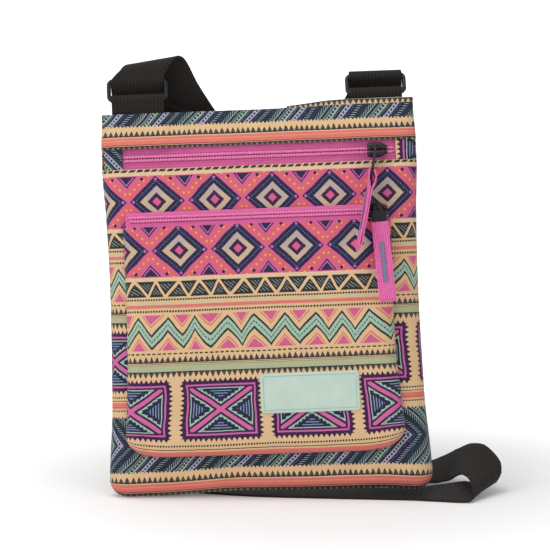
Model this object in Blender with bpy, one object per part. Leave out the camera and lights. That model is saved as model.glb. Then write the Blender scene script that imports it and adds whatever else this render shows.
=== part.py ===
"""Shoulder bag: a flat bag of printed cloth with a zipped top, a zipped bellows pocket and a webbing strap.

The bag is modelled in its own upright frame (x across, y to the back, z up) and then set down by
bag_frame, which leans it back against its strap and turns it onto its lower left corner.
The floor is z = 0, and the origin lies on it, below the middle of the bag.
"""
import math

import bmesh
import bpy
from mathutils import Matrix, Vector

# How the bag stands
LEAN = math.radians(8.0)
TURN = math.radians(2.2)
BAG_SHIFT = 0.00275
BAG_LIFT = 0.0045

# Cloth and clearances
GAP = 0.0003
CLOTH = 0.0012
LINING = 0.0004
TAB_CLOTH = 0.0008

# Bag body, measured to the inner faces of its panels
BAG_WIDTH = 0.2242
TOP_NARROWER = 0.0012
TOP_WIDTH = BAG_WIDTH - TOP_NARROWER
BAG_HEIGHT = 0.2742
BAG_DEPTH = 0.0256
SIDE_ROUND = 0.0140
BOTTOM_ROUND = 0.0140
BOTTOM_CORNER = 0.0120
TOP_RUN = 0.1000
ROOM_SPARE = 0.0001
ANCHOR_RAMP = 0.0070
LINING_INSET = 0.0014

# How its cloth sags: the bottom edge arches up, the top edge rises to the right, the back has slack folds
BOTTOM_ARCH = 0.0032
ARCH_LEFT = (-0.0750, -0.0150)
ARCH_RIGHT = (0.0700, 0.1100)
TOP_RISE = 0.0046
TOP_RISE_START = 0.0100
TOP_RISE_RUN = 0.0500
TOP_RISE_DEPTH = 0.0080
FOLD_HEIGHT = 0.0014
FOLD_WAVE = 0.0085
FOLD_SPREAD = 0.0300
FOLD_FROM_MIDDLE = 0.0200
FOLD_SLOPE = 0.25

# Printed bands of the cloth
PRINT_PITCH = 0.0413
BODY_PHASE = 0.0080
POCKET_PHASE = -0.0177
DIAMOND_BAND = 0.0373
BAND_ABOVE_DIAMONDS = 0.0035

# Zips, shared by both
TAPE_THICKNESS = 0.0005
COIL_WIDTH = 0.0028
COIL_HEIGHT = 0.0018
COIL_GAP = 0.0012
SLIDER_LENGTH = 0.0140
SLIDER_WIDTH = 0.0106
SLIDER_PLATE = 0.0010
BAIL_WALL = 0.0012
BAIL_ROOM = 0.0014
BAIL_WIDTH = 0.0020
BAIL_INNER = 0.0032
BAIL_OUTER = 0.0046
SLIDER_EDGE = 0.0005

# Main zip
MAIN_ZIP_BELOW_TOP = 0.03275
MAIN_ZIP_HEIGHT = BAG_HEIGHT - MAIN_ZIP_BELOW_TOP
MAIN_ZIP_SHOWN = 0.0149
MAIN_TAPE_WIDTH = 0.0120
ZIP_END_TAB = 0.0140
TAB_OVERLAP = 0.0030
MAIN_SLIDER_FROM_TAB = 0.0125
MAIN_SLIDER_AT = TOP_WIDTH / 2 - ZIP_END_TAB - MAIN_SLIDER_FROM_TAB
ZIP_TAPE_UNDER_TAB = 0.0020

# Front pocket
POCKET_FROM_LEFT = 0.0126
POCKET_FROM_RIGHT = 0.0196
POCKET_WIDTH = BAG_WIDTH - POCKET_FROM_LEFT - POCKET_FROM_RIGHT
POCKET_CENTRE = (POCKET_FROM_LEFT - POCKET_FROM_RIGHT) / 2
POCKET_BOTTOM = 0.0280
POCKET_BELOW_ZIP = 0.04945
POCKET_TOP = MAIN_ZIP_HEIGHT - POCKET_BELOW_ZIP
POCKET_DEPTH = 0.0092
POCKET_TOP_DEPTH = 0.0072
POCKET_EDGE_ROUND = 0.0100
POCKET_TOP_ROUND = 0.0035
POCKET_CORNER = 0.0140
POCKET_TOP_RUN = 0.0500
POCKET_TUCK = 0.0030
POCKET_TUCK_REACH = 0.0300
POCKET_ZIP_SHOWN = 0.0118
POCKET_ZIP_STANDOFF = 0.0018
POCKET_TAPE_LAP = 0.0002
POCKET_TAPE_WIDTH = POCKET_ZIP_SHOWN / 2 - COIL_GAP / 2 - GAP + POCKET_TAPE_LAP
POCKET_SLIDER_FROM_SIDE = 0.0091
POCKET_SLIDER_AT = POCKET_CENTRE + POCKET_WIDTH / 2 - POCKET_SLIDER_FROM_SIDE

# Pulls
EYE_RADIUS = 0.0027
EYE_BORE = 0.0015
PULLER_THICKNESS = 0.0022
MAIN_PULLER_LENGTH = 0.0185
POCKET_PULLER_LENGTH = 0.0112
PULLER_TOP_WIDTH = 0.0070
PULLER_END_WIDTH = 0.0108
PULLER_CORNER = 0.0010
TONGUE_LENGTH = 0.0065
TONGUE_WIDTH = 0.0080
TONGUE_THICKNESS = 0.0016
PULL_TAPE_WIDTH = 0.0120
PULL_TAPE_LAYER = 0.0012
PULL_TAPE_GLUE = 0.0001
PULL_TAPE_CLOSING = 0.0040
MAIN_PULL_LENGTH = 0.0590
POCKET_PULL_LENGTH = 0.0568
MAIN_PULL_TILT = math.radians(20.8)
MAIN_PULL_LEAN = math.radians(10.5)
MAIN_PULL_SHIFT = 0.0012
POCKET_PULL_TILT = math.radians(10.0)
POCKET_PULL_LEAN = math.radians(-3.5)
BARTACK_LENGTH = 0.0280
BARTACK_WIDTH = 0.0036
BARTACK_HEIGHT = 0.0005
BARTACK_AT = 0.55

# Label
LABEL_WIDTH = 0.0710
LABEL_HEIGHT = 0.0285
LABEL_THICKNESS = 0.0010
LABEL_FROM_POCKET_SIDE = 0.0268
LABEL_FROM_POCKET_BOTTOM = 0.02705
LABEL_X = POCKET_CENTRE + POCKET_WIDTH / 2 - LABEL_FROM_POCKET_SIDE - LABEL_WIDTH / 2
LABEL_Z = POCKET_BOTTOM + LABEL_FROM_POCKET_BOTTOM + LABEL_HEIGHT / 2

# Rings and their anchors
STRAP_WIDTH = 0.0380
STRAP_THICKNESS = 0.0014
ANCHOR_NARROWER = 0.0005
ANCHOR_WIDTH = STRAP_WIDTH - ANCHOR_NARROWER
ANCHOR_HIDDEN = 0.0180
RING_FROM_SIDE = 0.0255
RING_OFFSET = TOP_WIDTH / 2 - RING_FROM_SIDE
RING_BAR = 0.0020
RING_SPACING = 0.0140
RING_SIDE_ROOM = 0.0008
RING_CORNER = 0.0035
RING_LEFT_HEIGHT = 0.0105
RING_LEFT_TILT = math.radians(12.0)
RING_RIGHT_HEIGHT = 0.0093
RING_RIGHT_TILT = math.radians(28.0)

# Strap and its adjuster
STRAP_STEP = 0.0085
ROUTE_UNIT = 0.001
ADJUSTER_BAR = 0.0013
ADJUSTER_SLOT = 0.0069
ADJUSTER_SIDE = 0.0026
ADJUSTER_AT = (-0.0390, 0.0650, 0.2390)
ADJUSTER_UP = (-0.54, -0.10, 0.83)
ADJUSTER_ACROSS = (0.83, 0.0, 0.54)
STRAP_TAIL = 0.0280

# The strap's way from the adjuster down behind the bag, round its loop on the floor and up to the right
# ring, in route units: each point and the direction across the strap there
LOOP_ROUTE = [
    ((14.0, 69.0, 153.0), (0.85, 0.00, 0.53)),
    ((43.0, 69.0, 96.0), (0.83, 0.12, 0.54)),
    ((64.0, 71.0, 52.0), (0.74, 0.36, 0.56)),
    ((81.0, 70.0, 24.0), (0.55, 0.70, 0.45)),
    ((99.0, 61.0, 9.0), (0.30, 0.93, 0.20)),
    ((113.0, 52.0, 6.8), (0.18, 0.97, 0.17)),
    ((123.5, 45.5, 10.2), (0.20, 0.92, 0.33)),
    ((132.4, 36.9, 16.7), (0.17, 0.89, 0.42)),
    ((139.9, 26.3, 23.5), (0.27, 0.86, 0.44)),
    ((146.0, 16.0, 24.5), (0.43, 0.79, 0.44)),
    ((151.4, 7.6, 20.6), (0.56, 0.77, 0.31)),
    ((153.9, 1.2, 17.2), (0.62, 0.75, 0.24)),
    ((154.0, -5.2, 11.9), (0.60, 0.78, 0.17)),
    ((151.9, -7.7, 6.8), (0.50, 0.86, 0.10)),
    ((145.8, -9.0, 4.2), (0.30, 0.95, 0.13)),
    ((135.9, -7.6, 4.6), (0.18, 0.96, 0.20)),
    ((121.4, -3.3, 2.8), (0.11, 0.99, 0.11)),
    ((106.0, 0.0, 1.4), (0.08, 1.00, 0.01)),
    ((86.0, 3.0, 0.7), (0.05, 1.00, 0.0)),
    ((56.0, 6.0, 0.7), (0.08, 0.99, 0.0)),
    ((28.0, 9.0, 0.7), (0.12, 0.99, 0.0)),
    ((10.0, 11.0, 0.7), (0.15, 0.99, 0.0)),
    ((-8.0, 14.0, 0.7), (0.20, 0.98, 0.0)),
    ((-26.0, 19.0, 0.7), (0.28, 0.96, 0.0)),
    ((-43.0, 25.0, 0.7), (0.30, 0.95, 0.0)),
    ((-60.0, 32.0, 3.5), (0.28, 0.95, 0.0)),
    ((-73.5, 39.0, 14.0), (0.15, 0.98, 0.0)),
    ((-77.5, 45.0, 31.0), (0.00, 1.00, 0.0)),
    ((-69.0, 50.0, 56.0), (0.25, 0.95, -0.10)),
    ((-50.0, 52.0, 88.0), (0.60, 0.78, -0.20)),
    ((-26.0, 52.0, 124.0), (0.86, 0.36, -0.30)),
    ((6.0, 52.0, 172.0), (0.90, 0.06, -0.38)),
    ((38.0, 54.5, 220.0), (0.91, 0.00, -0.36)),
    ((62.0, 59.0, 262.0), (0.95, 0.00, -0.28)),
]

HALF_WIDTH = BAG_WIDTH / 2
HALF_DEPTH = BAG_DEPTH / 2
TOP_ROOM = STRAP_THICKNESS + 2 * GAP + ROOM_SPARE
WRAP_RADIUS = RING_BAR + GAP + STRAP_THICKNESS / 2
SLIDER_RISE = GAP + COIL_HEIGHT + GAP
BAIL_AXIS = SLIDER_RISE + SLIDER_PLATE + EYE_RADIUS + BAIL_ROOM
POCKET_ZIP_TILT = math.asin((POCKET_TOP_DEPTH - POCKET_ZIP_STANDOFF) / POCKET_ZIP_SHOWN)
PRINT_COLUMN = PRINT_PITCH / 4

# Colours (red, green, blue from 0 to 255) and roughness
PALETTE = {
    "peach": ((245, 205, 150), 0.85),
    "cream": ((236, 216, 180), 0.85),
    "salmon": ((235, 125, 110), 0.85),
    "pink": ((232, 105, 150), 0.85),
    "purple": ((66, 32, 78), 0.85),
    "navy": ((45, 42, 82), 0.85),
    "green": ((66, 62, 52), 0.85),
    "mint": ((150, 195, 178), 0.85),
    "sage": ((187, 192, 152), 0.85),
    "tan": ((205, 170, 125), 0.85),
    "zip_tape": ((214, 84, 158), 0.80),
    "zip_coil": ((240, 112, 182), 0.45),
    "pull_tape": ((244, 116, 186), 0.80),
    "bartack": ((128, 152, 186), 0.70),
    "black_zinc": ((34, 32, 34), 0.35),
    "black_plastic": ((22, 21, 22), 0.25),
    "webbing": ((46, 42, 40), 0.80),
    "label_cloth": ((200, 222, 208), 0.85),
    "lining_cloth": ((58, 52, 66), 0.85),
}


def clear_scene():
    for item in list(bpy.data.objects):
        bpy.data.objects.remove(item, do_unlink=True)


def linear(channel):
    value = channel / 255
    return value / 12.92 if value <= 0.04045 else ((value + 0.055) / 1.055) ** 2.4


def material(name):
    found = bpy.data.materials.get(name)
    if found:
        return found
    colour, roughness = PALETTE[name]
    made = bpy.data.materials.new(name)
    made.use_nodes = True
    shader = made.node_tree.nodes["Principled BSDF"]
    shader.inputs["Base Color"].default_value = [linear(c) for c in colour] + [1.0]
    shader.inputs["Roughness"].default_value = roughness
    shader.inputs["Metallic"].default_value = 0.6 if name == "black_zinc" else 0.0
    return made


def frame_empty(name, parent, matrix):
    empty = bpy.data.objects.new(name, None)
    bpy.context.scene.collection.objects.link(empty)
    empty.parent = parent
    empty.matrix_local = matrix
    return empty


def finish_object(name, bm, materials, parent=None, matrix=None, smooth=True):
    """Link a mesh as a named object in its parent's frame, with its faces pointing out."""
    mesh = bpy.data.meshes.new(name)
    bm.to_mesh(mesh)
    bm.free()
    for entry in materials:
        mesh.materials.append(material(entry))
    if smooth:
        mesh.shade_smooth()
        mesh.set_sharp_from_angle(angle=math.radians(40))
    made = bpy.data.objects.new(name, mesh)
    bpy.context.scene.collection.objects.link(made)
    made.parent = parent
    if matrix is not None:
        made.matrix_local = matrix
    return made


def bump(position, start, end):
    """Rise smoothly from 0 at start to 1 at end."""
    part = min(1.0, max(0.0, (position - start) / (end - start)))
    return part * part * (3 - 2 * part)


def quarter(distance, radius):
    """Height from 0 to 1 of a quarter round at a distance in from its edge."""
    left = 1 - min(1.0, max(0.0, distance / radius))
    return math.sqrt(max(0.0, 1 - left * left))


def round_steps(radius, count=3):
    """Distances in from an edge that cut its quarter round into even steps."""
    return [radius * (1 - math.cos(math.pi / 2 * i / count)) for i in range(count + 1)]


def taper(z):
    """Width at a height, as a share of the width at the bottom."""
    return 1 + (TOP_WIDTH / BAG_WIDTH - 1) * z / BAG_HEIGHT


def anchor_edge():
    """The anchors' inner edges, in the bottom's width."""
    return (RING_OFFSET - ANCHOR_WIDTH / 2) / taper(BAG_HEIGHT) - GAP


def anchor_room(x):
    """1 where an anchor's two layers lie between the panels' top edges, 0 between the anchors."""
    return bump(abs(x), anchor_edge() - ANCHOR_RAMP, anchor_edge())


def panel_depth(x, z):
    """Distance from the seam plane to a panel's inner face, at x in the bottom's width."""
    top = TOP_ROOM * anchor_room(x)
    run = min(1.0, (BAG_HEIGHT - z) / TOP_RUN)
    middle = top + (HALF_DEPTH - top) * math.sin(run * math.pi / 2)
    return middle * quarter(HALF_WIDTH - abs(x), SIDE_ROUND) * quarter(z, BOTTOM_ROUND)


def rounded_corner(x, z, half, radius):
    """Move a point of a square bottom corner into a round one."""
    across = abs(x) - (half - radius)
    down = radius - z
    if across <= 0 or down <= 0:
        return x, z
    a = across / radius
    b = down / radius
    new_across = radius * a * math.sqrt(max(0.0, 1 - b * b / 2))
    new_down = radius * b * math.sqrt(max(0.0, 1 - a * a / 2))
    return math.copysign(half - radius + new_across, x), radius - new_down


def inward(face, x, z, distance):
    """A point a distance inside a panel's inner face, along the panel's own normal."""
    point = face(x, z)
    step = 0.0002
    if abs(x) > HALF_WIDTH - step:
        return point - Vector((math.copysign(distance, x), 0, 0))
    across = face(x + step, z) - face(x - step, z)
    up = face(x, z + step) - face(x, z - step)
    normal = across.cross(up).normalized()
    return point - normal * math.copysign(distance, normal.y * point.y)


def bag_matrix():
    turn = Matrix.Rotation(-TURN, 4, "Y")
    lean = Matrix.Rotation(-LEAN, 4, "X")
    return Matrix.Translation((BAG_SHIFT, 0, BAG_LIFT)) @ lean @ turn


def set_down(point):
    """Keep a point of a panel's inner face one cloth thickness above the floor."""
    height = (bag_matrix() @ point).z
    if height < CLOTH:
        point.z += (CLOTH - height) / (math.cos(LEAN) * math.cos(TURN))
    return point


def body_point(x, z, side):
    """A point of the front (side -1) or back (side 1) panel's inner face."""
    depth = panel_depth(x, z)
    flat_x, flat_z = rounded_corner(x, z, HALF_WIDTH, BOTTOM_CORNER)
    arch = BOTTOM_ARCH * bump(flat_x, *ARCH_LEFT) * (1 - bump(flat_x, *ARCH_RIGHT))
    flat_z += arch * (1 - bump(flat_z, 0, 4 * BOTTOM_ROUND))
    rise = TOP_RISE * bump(flat_x, TOP_RISE_START, TOP_RISE_START + TOP_RISE_RUN)
    flat_z += rise * bump(z, BAG_HEIGHT - TOP_RISE_DEPTH, BAG_HEIGHT)
    return set_down(Vector((flat_x * taper(z), side * (GAP / 2 + depth), flat_z)))


def back_point(x, z):
    """The back panel, with two slack folds that run down from the rings."""
    point = body_point(x, z, 1)
    inside = quarter(HALF_WIDTH - abs(x), 3 * SIDE_ROUND) * bump(z, BOTTOM_ROUND, 4 * BOTTOM_ROUND)
    below = 1 - bump(z, BAG_HEIGHT - 0.8 * TOP_RUN, BAG_HEIGHT - 0.5 * TOP_RUN)
    line = abs(x) - FOLD_FROM_MIDDLE - FOLD_SLOPE * z
    wave = math.cos(line / FOLD_WAVE) * math.exp(-(line / FOLD_SPREAD) ** 2)
    point.y += FOLD_HEIGHT * inside * below * wave
    return point


def edge_columns(half, radius):
    return [half - step for step in round_steps(radius)]


def print_columns(half, radius, phase, centre=0.0):
    """Grid lines on the print's quarter pitches, with lines round the two side edges."""
    edges = edge_columns(half, radius)
    inner = edges[-1] - 0.003
    count = int(2 * half / PRINT_COLUMN) + 4
    lines = [phase + i * PRINT_COLUMN - centre for i in range(-count, count)]
    kept = [line for line in lines if abs(line) < inner]
    return sorted([-e for e in edges] + kept + edges)


def plain_columns(half, radius, count):
    edges = edge_columns(half, radius)
    inner = edges[-1]
    kept = [-inner + 2 * inner * i / count for i in range(1, count)]
    return sorted([-e for e in edges] + kept + edges)


def anchor_columns(middle, outer):
    """Even grid lines between the anchors, and lines where the top seam opens to take them."""
    ramp = anchor_edge() - ANCHOR_RAMP
    edges = edge_columns(HALF_WIDTH, SIDE_ROUND)
    right = [ramp * i / middle for i in range(1, middle + 1)]
    right += [anchor_edge() + (edges[-1] - anchor_edge()) * i / outer for i in range(outer)]
    right += edges
    return sorted([-x for x in right] + [0.0] + right)


def front_point(x, z):
    return body_point(x, z, -1)


def plain(colour):
    return lambda column, row, rows: (None, colour, colour)


def diamonds(outside, ring, core):
    """Four rows by four columns hold one diamond, with a smaller one in its middle."""
    def paint(column, row, rows):
        right = column % 4 in (0, 1)
        top = row >= 2
        slope = "\\" if right == top else "/"
        across = column % 4 if right else 3 - column % 4
        up = row - 2 if top else 1 - row
        if across + up == 2:
            return None, outside, outside
        pair = (core, ring) if across + up == 0 else (ring, outside)
        return (slope,) + (pair if top else pair[::-1])
    return paint


def triangles(pointing_up, between):
    """One row of triangles, each two columns wide, that stand on the row's lower line."""
    def paint(column, row, rows):
        return "/" if column % 2 == 0 else "\\", pointing_up, between
    return paint


def zigzag(above, band, below):
    """Two rows with a band that climbs one column and falls the next."""
    def paint(column, row, rows):
        slope = "/" if column % 2 == 0 else "\\"
        return (slope, below, band) if row == 0 else (slope, band, above)
    return paint


def split_rows(bands, start):
    """Heights and painters of the grid rows, from a list of (height, rows, painter) going up."""
    heights = [start]
    painters = []
    for height, rows, painter in bands:
        for i in range(rows):
            heights.append(heights[-1] + height / rows)
            painters.append((painter, i, rows))
    return heights, painters


def colours_of(bands):
    names = []
    for _, rows, painter in bands:
        for column in range(4):
            for row in range(rows):
                for name in painter(column, row, rows)[1:]:
                    if name not in names:
                        names.append(name)
    return names


def add_cell(bm, corners, slope, first, second):
    """A grid cell as one face, or as two triangles: first is the lower one, second the upper."""
    low_left, low_right, high_right, high_left = corners
    if slope is None:
        bm.faces.new(corners).material_index = first
        return
    if slope == "/":
        lower = (low_left, low_right, high_right)
        upper = (low_left, high_right, high_left)
    else:
        lower = (low_left, low_right, high_left)
        upper = (low_right, high_right, high_left)
    bm.faces.new(lower).material_index = first
    bm.faces.new(upper).material_index = second


def cloth_sheet(name, columns, bands, start, place, parent, thickness=CLOTH, first_column=0, flip=False):
    """A sheet of cloth on a grid: place gives its inner face, and its thickness is added outward."""
    heights, painters = split_rows(bands, start)
    names = colours_of(bands)
    bm = bmesh.new()
    grid = [[bm.verts.new(place(x, z)) for x in columns] for z in heights]
    for row, (painter, band_row, rows) in enumerate(painters):
        for column in range(len(columns) - 1):
            slope, first, second = painter(column + first_column, band_row, rows)
            corners = [grid[row][column], grid[row][column + 1],
                       grid[row + 1][column + 1], grid[row + 1][column]]
            add_cell(bm, corners, slope, names.index(first), names.index(second))
    if flip:
        bmesh.ops.reverse_faces(bm, faces=bm.faces)
    made = finish_object(name, bm, names, parent)
    thick = made.modifiers.new("cloth thickness", "SOLIDIFY")
    thick.thickness = thickness
    thick.offset = 1.0
    return made


def zip_edges(shown):
    """Lower and upper edge of the cloth either side of a zip."""
    return MAIN_ZIP_HEIGHT - shown / 2, MAIN_ZIP_HEIGHT + shown / 2


def fitted(bands, height):
    """Bands made to fill a height, each keeping its share of it."""
    share = height / sum(tall for tall, _, _ in bands)
    return [(share * tall, rows, painter) for tall, rows, painter in bands]


def lower_bands(top):
    """Bands of the print from the bottom edge up to a height."""
    bands = [
        (0.0019, 1, plain("tan")),
        (0.0041, 1, plain("tan")),
        (0.0045, 1, plain("green")),
        (0.0050, 1, plain("salmon")),
        (0.0045, 1, triangles("green", "peach")),
        (0.0390, 3, plain("mint")),
        (0.0050, 1, plain("salmon")),
        (0.0110, 1, plain("peach")),
        (0.0100, 1, plain("purple")),
        (0.0240, 1, triangles("navy", "mint")),
        (0.0100, 1, plain("purple")),
        (0.0055, 1, plain("peach")),
        (0.0055, 1, plain("sage")),
        (0.0090, 1, plain("peach")),
        (0.0270, 2, zigzag("peach", "mint", "pink")),
        (0.0065, 1, plain("cream")),
        (0.0045, 1, plain("salmon")),
        (0.0107, 1, triangles("green", "cream")),
        (0.0033, 1, plain("cream")),
    ]
    bands = fitted(bands, top - DIAMOND_BAND - BAND_ABOVE_DIAMONDS)
    bands.append((DIAMOND_BAND, 4, diamonds("pink", "navy", "cream")))
    bands.append((BAND_ABOVE_DIAMONDS, 1, plain("cream")))
    return bands


def first_print_column(columns, phase, centre=0.0):
    """How many quarter pitches the first grid line lies from a diamond's middle."""
    edges = len(round_steps(SIDE_ROUND))
    inner = columns[edges]
    return round((inner - phase + centre) / PRINT_COLUMN) - edges


def add_front_panel(bag):
    columns = print_columns(HALF_WIDTH, SIDE_ROUND, BODY_PHASE)
    top = zip_edges(MAIN_ZIP_SHOWN)[0]
    cloth_sheet("front_panel", columns, lower_bands(top), 0.0, front_point, bag,
                first_column=first_print_column(columns, BODY_PHASE))


def add_top_band(bag):
    start = zip_edges(MAIN_ZIP_SHOWN)[1]
    bands = [
        (0.0035, 1, triangles("purple", "peach")),
        (0.0060, 1, plain("salmon")),
        (0.0045, 1, triangles("green", "peach")),
        (0.0025, 1, plain("peach")),
        (0.0110, 2, plain("mint")),
    ]
    cloth_sheet("front_top_band", anchor_columns(6, 4), fitted(bands, BAG_HEIGHT - start), start,
                front_point, bag)


def add_back_panel(bag):
    bands = [
        (0.0019, 1, plain("tan")),
        (0.0086, 1, plain("green")),
        (0.0050, 1, plain("salmon")),
        (0.0435, 2, plain("mint")),
        (0.0160, 1, plain("peach")),
        (0.0440, 2, plain("purple")),
        (0.0200, 1, plain("sage")),
        (0.0270, 2, zigzag("peach", "mint", "pink")),
        (0.0217, 1, plain("cream")),
        (0.0373, 2, plain("pink")),
        (0.01230, 1, plain("cream")),
        (0.01722, 1, plain("salmon")),
        (0.01968, 2, plain("peach")),
    ]
    cloth_sheet("back_panel", anchor_columns(4, 2), fitted(bands, BAG_HEIGHT), 0.0, back_point, bag,
                flip=True)


def lining_point(face, x, z):
    """The lining's inner face, its own thickness and an inset inside the panels."""
    point = inward(face, x, z, LINING + LINING_INSET)
    side = face(0, z).y
    point.y = math.copysign(max(GAP / 2, point.y * math.copysign(1, side)), side)
    return point


def lining_rows(bottom, top):
    """Close rows round the bottom's curve, then wider ones."""
    lining = plain("lining_cloth")
    low = [(0.0020, 1, lining), (0.0040, 1, lining), (0.0060, 1, lining), (0.0060, 1, lining)]
    return low + [(top - bottom - 0.0180, 6, lining)]


def add_lining(bag):
    columns = plain_columns(HALF_WIDTH - LINING - LINING_INSET, SIDE_ROUND, 8)
    bottom = 2 * LINING_INSET
    zip_low = MAIN_ZIP_HEIGHT - COIL_GAP / 2 - MAIN_TAPE_WIDTH - 3 * GAP
    anchor_low = BAG_HEIGHT - ANCHOR_HIDDEN - 3 * GAP
    front = lining_rows(bottom, zip_low)
    back = lining_rows(bottom, anchor_low)
    cloth_sheet("lining_front", columns, front, bottom, lambda x, z: lining_point(front_point, x, z), bag,
                LINING)
    cloth_sheet("lining_back", columns, back, bottom, lambda x, z: lining_point(back_point, x, z), bag,
                LINING, flip=True)


def box(bm, low, high):
    """A block between two corners."""
    size = Vector(high) - Vector(low)
    middle = (Vector(high) + Vector(low)) / 2
    placed = Matrix.Translation(middle) @ Matrix.Diagonal(size).to_4x4()
    return bmesh.ops.create_cube(bm, size=1.0, matrix=placed)["verts"]


def box_object(name, low, high, colour, parent, bevel=0.0):
    bm = bmesh.new()
    box(bm, low, high)
    made = finish_object(name, bm, [colour], parent, smooth=False)
    if bevel:
        soft = made.modifiers.new("edges", "BEVEL")
        soft.width = bevel
        soft.segments = 2
        soft.limit_method = "ANGLE"
    return made


def extruded(bm, outline, thickness, place):
    """A solid from a closed outline of (a, b) points, half its thickness to either side."""
    sides = []
    for offset in (-thickness / 2, thickness / 2):
        sides.append([bm.verts.new(place(a, b, offset)) for a, b in outline])
    bm.faces.new(sides[0])
    bm.faces.new(reversed(sides[1]))
    count = len(outline)
    for i in range(count):
        after = (i + 1) % count
        bm.faces.new((sides[0][after], sides[0][i], sides[1][i], sides[1][after]))
    bmesh.ops.recalc_face_normals(bm, faces=bm.faces)


def zip_matrix(y, z, tilt):
    """A zip's own frame: x along the teeth, y across the tapes and up, z out of the bag."""
    across = Vector((0, math.sin(tilt), math.cos(tilt)))
    out = Vector((0, -math.cos(tilt), math.sin(tilt)))
    matrix = Matrix((Vector((1, 0, 0)), across, out)).transposed().to_4x4()
    return Matrix.Translation((0, y, z)) @ matrix


def main_zip_matrix():
    """Under the panels' edges, by one gap, one tab's cloth and one more gap."""
    step = 0.001
    low = panel_depth(0, MAIN_ZIP_HEIGHT - step)
    high = panel_depth(0, MAIN_ZIP_HEIGHT + step)
    tilt = math.atan((low - high) / (2 * step))
    depth = GAP / 2 + panel_depth(0, MAIN_ZIP_HEIGHT) - 2 * GAP - TAB_CLOTH
    return zip_matrix(-depth, MAIN_ZIP_HEIGHT, tilt)


def front_face(z):
    """Distance from the seam plane to the front panel's outer face, away from its edges."""
    return GAP / 2 + panel_depth(0, z) + CLOTH


def pocket_face(z):
    """Distance from the seam plane to the pocket's outer face, away from its edges."""
    return front_face(z) + GAP + pocket_rise(z) + CLOTH


def pocket_zip_matrix():
    """Halfway up the slope from the pocket's top edge back to the front panel."""
    half = POCKET_ZIP_SHOWN / 2
    edge = front_face(POCKET_TOP) + GAP + POCKET_TOP_DEPTH - GAP
    y = -(edge - half * math.sin(POCKET_ZIP_TILT))
    z = POCKET_TOP + half * math.cos(POCKET_ZIP_TILT)
    return zip_matrix(y, z, POCKET_ZIP_TILT)


def coil_outline(side):
    """Section of one row of teeth: a low round bar beside the chain's middle."""
    points = []
    inner = COIL_GAP / 2
    for i in range(7):
        angle = math.pi * i / 6
        across = inner + COIL_WIDTH / 2 - COIL_WIDTH / 2 * math.cos(angle)
        points.append((side * across, GAP + COIL_HEIGHT * math.sin(angle)))
    return points


def add_coil(name, side, low, high, frame):
    bm = bmesh.new()
    middle = (low + high) / 2
    extruded(bm, coil_outline(side), high - low, lambda a, b, offset: (middle + offset, a, b))
    finish_object(name, bm, ["zip_coil"], frame)


def add_main_zip(frame):
    half = TOP_WIDTH / 2 - ZIP_END_TAB
    reach = half + ZIP_TAPE_UNDER_TAB
    inner = COIL_GAP / 2 + GAP
    for name, side in (("upper", 1), ("lower", -1)):
        edges = sorted((side * inner, side * (inner + MAIN_TAPE_WIDTH)))
        box_object(f"main_zip_tape_{name}", (-reach, edges[0], -TAPE_THICKNESS), (reach, edges[1], 0.0),
                   "zip_tape", frame)
        add_coil(f"main_zip_coil_{name}", side, -half + GAP, half - GAP, frame)


def add_zip_tabs(bag):
    """Printed cloth over the zip's ends, one layer under the panels."""
    low, high = zip_edges(MAIN_ZIP_SHOWN)
    inner = TOP_WIDTH / 2 - ZIP_END_TAB
    edges = [inner / taper(MAIN_ZIP_HEIGHT)] + edge_columns(HALF_WIDTH, SIDE_ROUND)[::-1][1:]
    rows = [(high - low + 2 * TAB_OVERLAP, 3, plain("mint"))]
    for name, sign in (("left", -1), ("right", 1)):
        columns = sorted(sign * x for x in edges)

        def place(x, z):
            return inward(front_point, x, z, GAP + TAB_CLOTH)
        cloth_sheet(f"zip_end_tab_{name}", columns, rows, low - TAB_OVERLAP, place, bag, TAB_CLOTH)


def pocket_rise(z):
    """Depth of the pocket's room above the front panel, away from its side edges."""
    top = bump(z, POCKET_TOP - POCKET_TOP_RUN, POCKET_TOP)
    full = POCKET_DEPTH + (POCKET_TOP_DEPTH - POCKET_DEPTH) * top
    return full * quarter(z - POCKET_BOTTOM, POCKET_EDGE_ROUND)


def pocket_point(x, z):
    """The pocket's inner face: it swells from its side and bottom seams, whose corners are tucked."""
    half = POCKET_WIDTH / 2
    top = bump(z, POCKET_TOP - POCKET_TOP_RUN, POCKET_TOP)
    side_round = POCKET_EDGE_ROUND + (POCKET_TOP_ROUND - POCKET_EDGE_ROUND) * top
    rise = pocket_rise(z) * quarter(half - abs(x), side_round)
    flat_x, flat_z = rounded_corner(x, z - POCKET_BOTTOM, half, POCKET_CORNER)
    tuck = 1 - bump(half - abs(x), 0, POCKET_TUCK_REACH)
    tuck *= 1 - bump(z - POCKET_BOTTOM, 0, POCKET_TUCK_REACH)
    flat_z += POCKET_TUCK * tuck
    return Vector((POCKET_CENTRE + flat_x, -(front_face(z) + GAP + rise), POCKET_BOTTOM + flat_z))


def pocket_bands():
    bands = [
        (0.0015, 1, plain("peach")),
        (0.0040, 1, plain("salmon")),
        (0.0050, 1, plain("peach")),
        (0.0090, 1, plain("purple")),
        (0.0250, 1, triangles("navy", "mint")),
        (0.0090, 1, plain("purple")),
        (0.0055, 1, plain("peach")),
        (0.0050, 1, plain("sage")),
        (0.0110, 1, plain("peach")),
        (0.0220, 2, zigzag("peach", "mint", "pink")),
        (0.0060, 1, plain("cream")),
        (0.0035, 1, plain("salmon")),
        (0.0110, 1, triangles("green", "cream")),
        (0.0107, 1, plain("cream")),
    ]
    bands = fitted(bands, POCKET_TOP - POCKET_BOTTOM - DIAMOND_BAND)
    bands.append((DIAMOND_BAND, 4, diamonds("pink", "navy", "cream")))
    return bands


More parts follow.
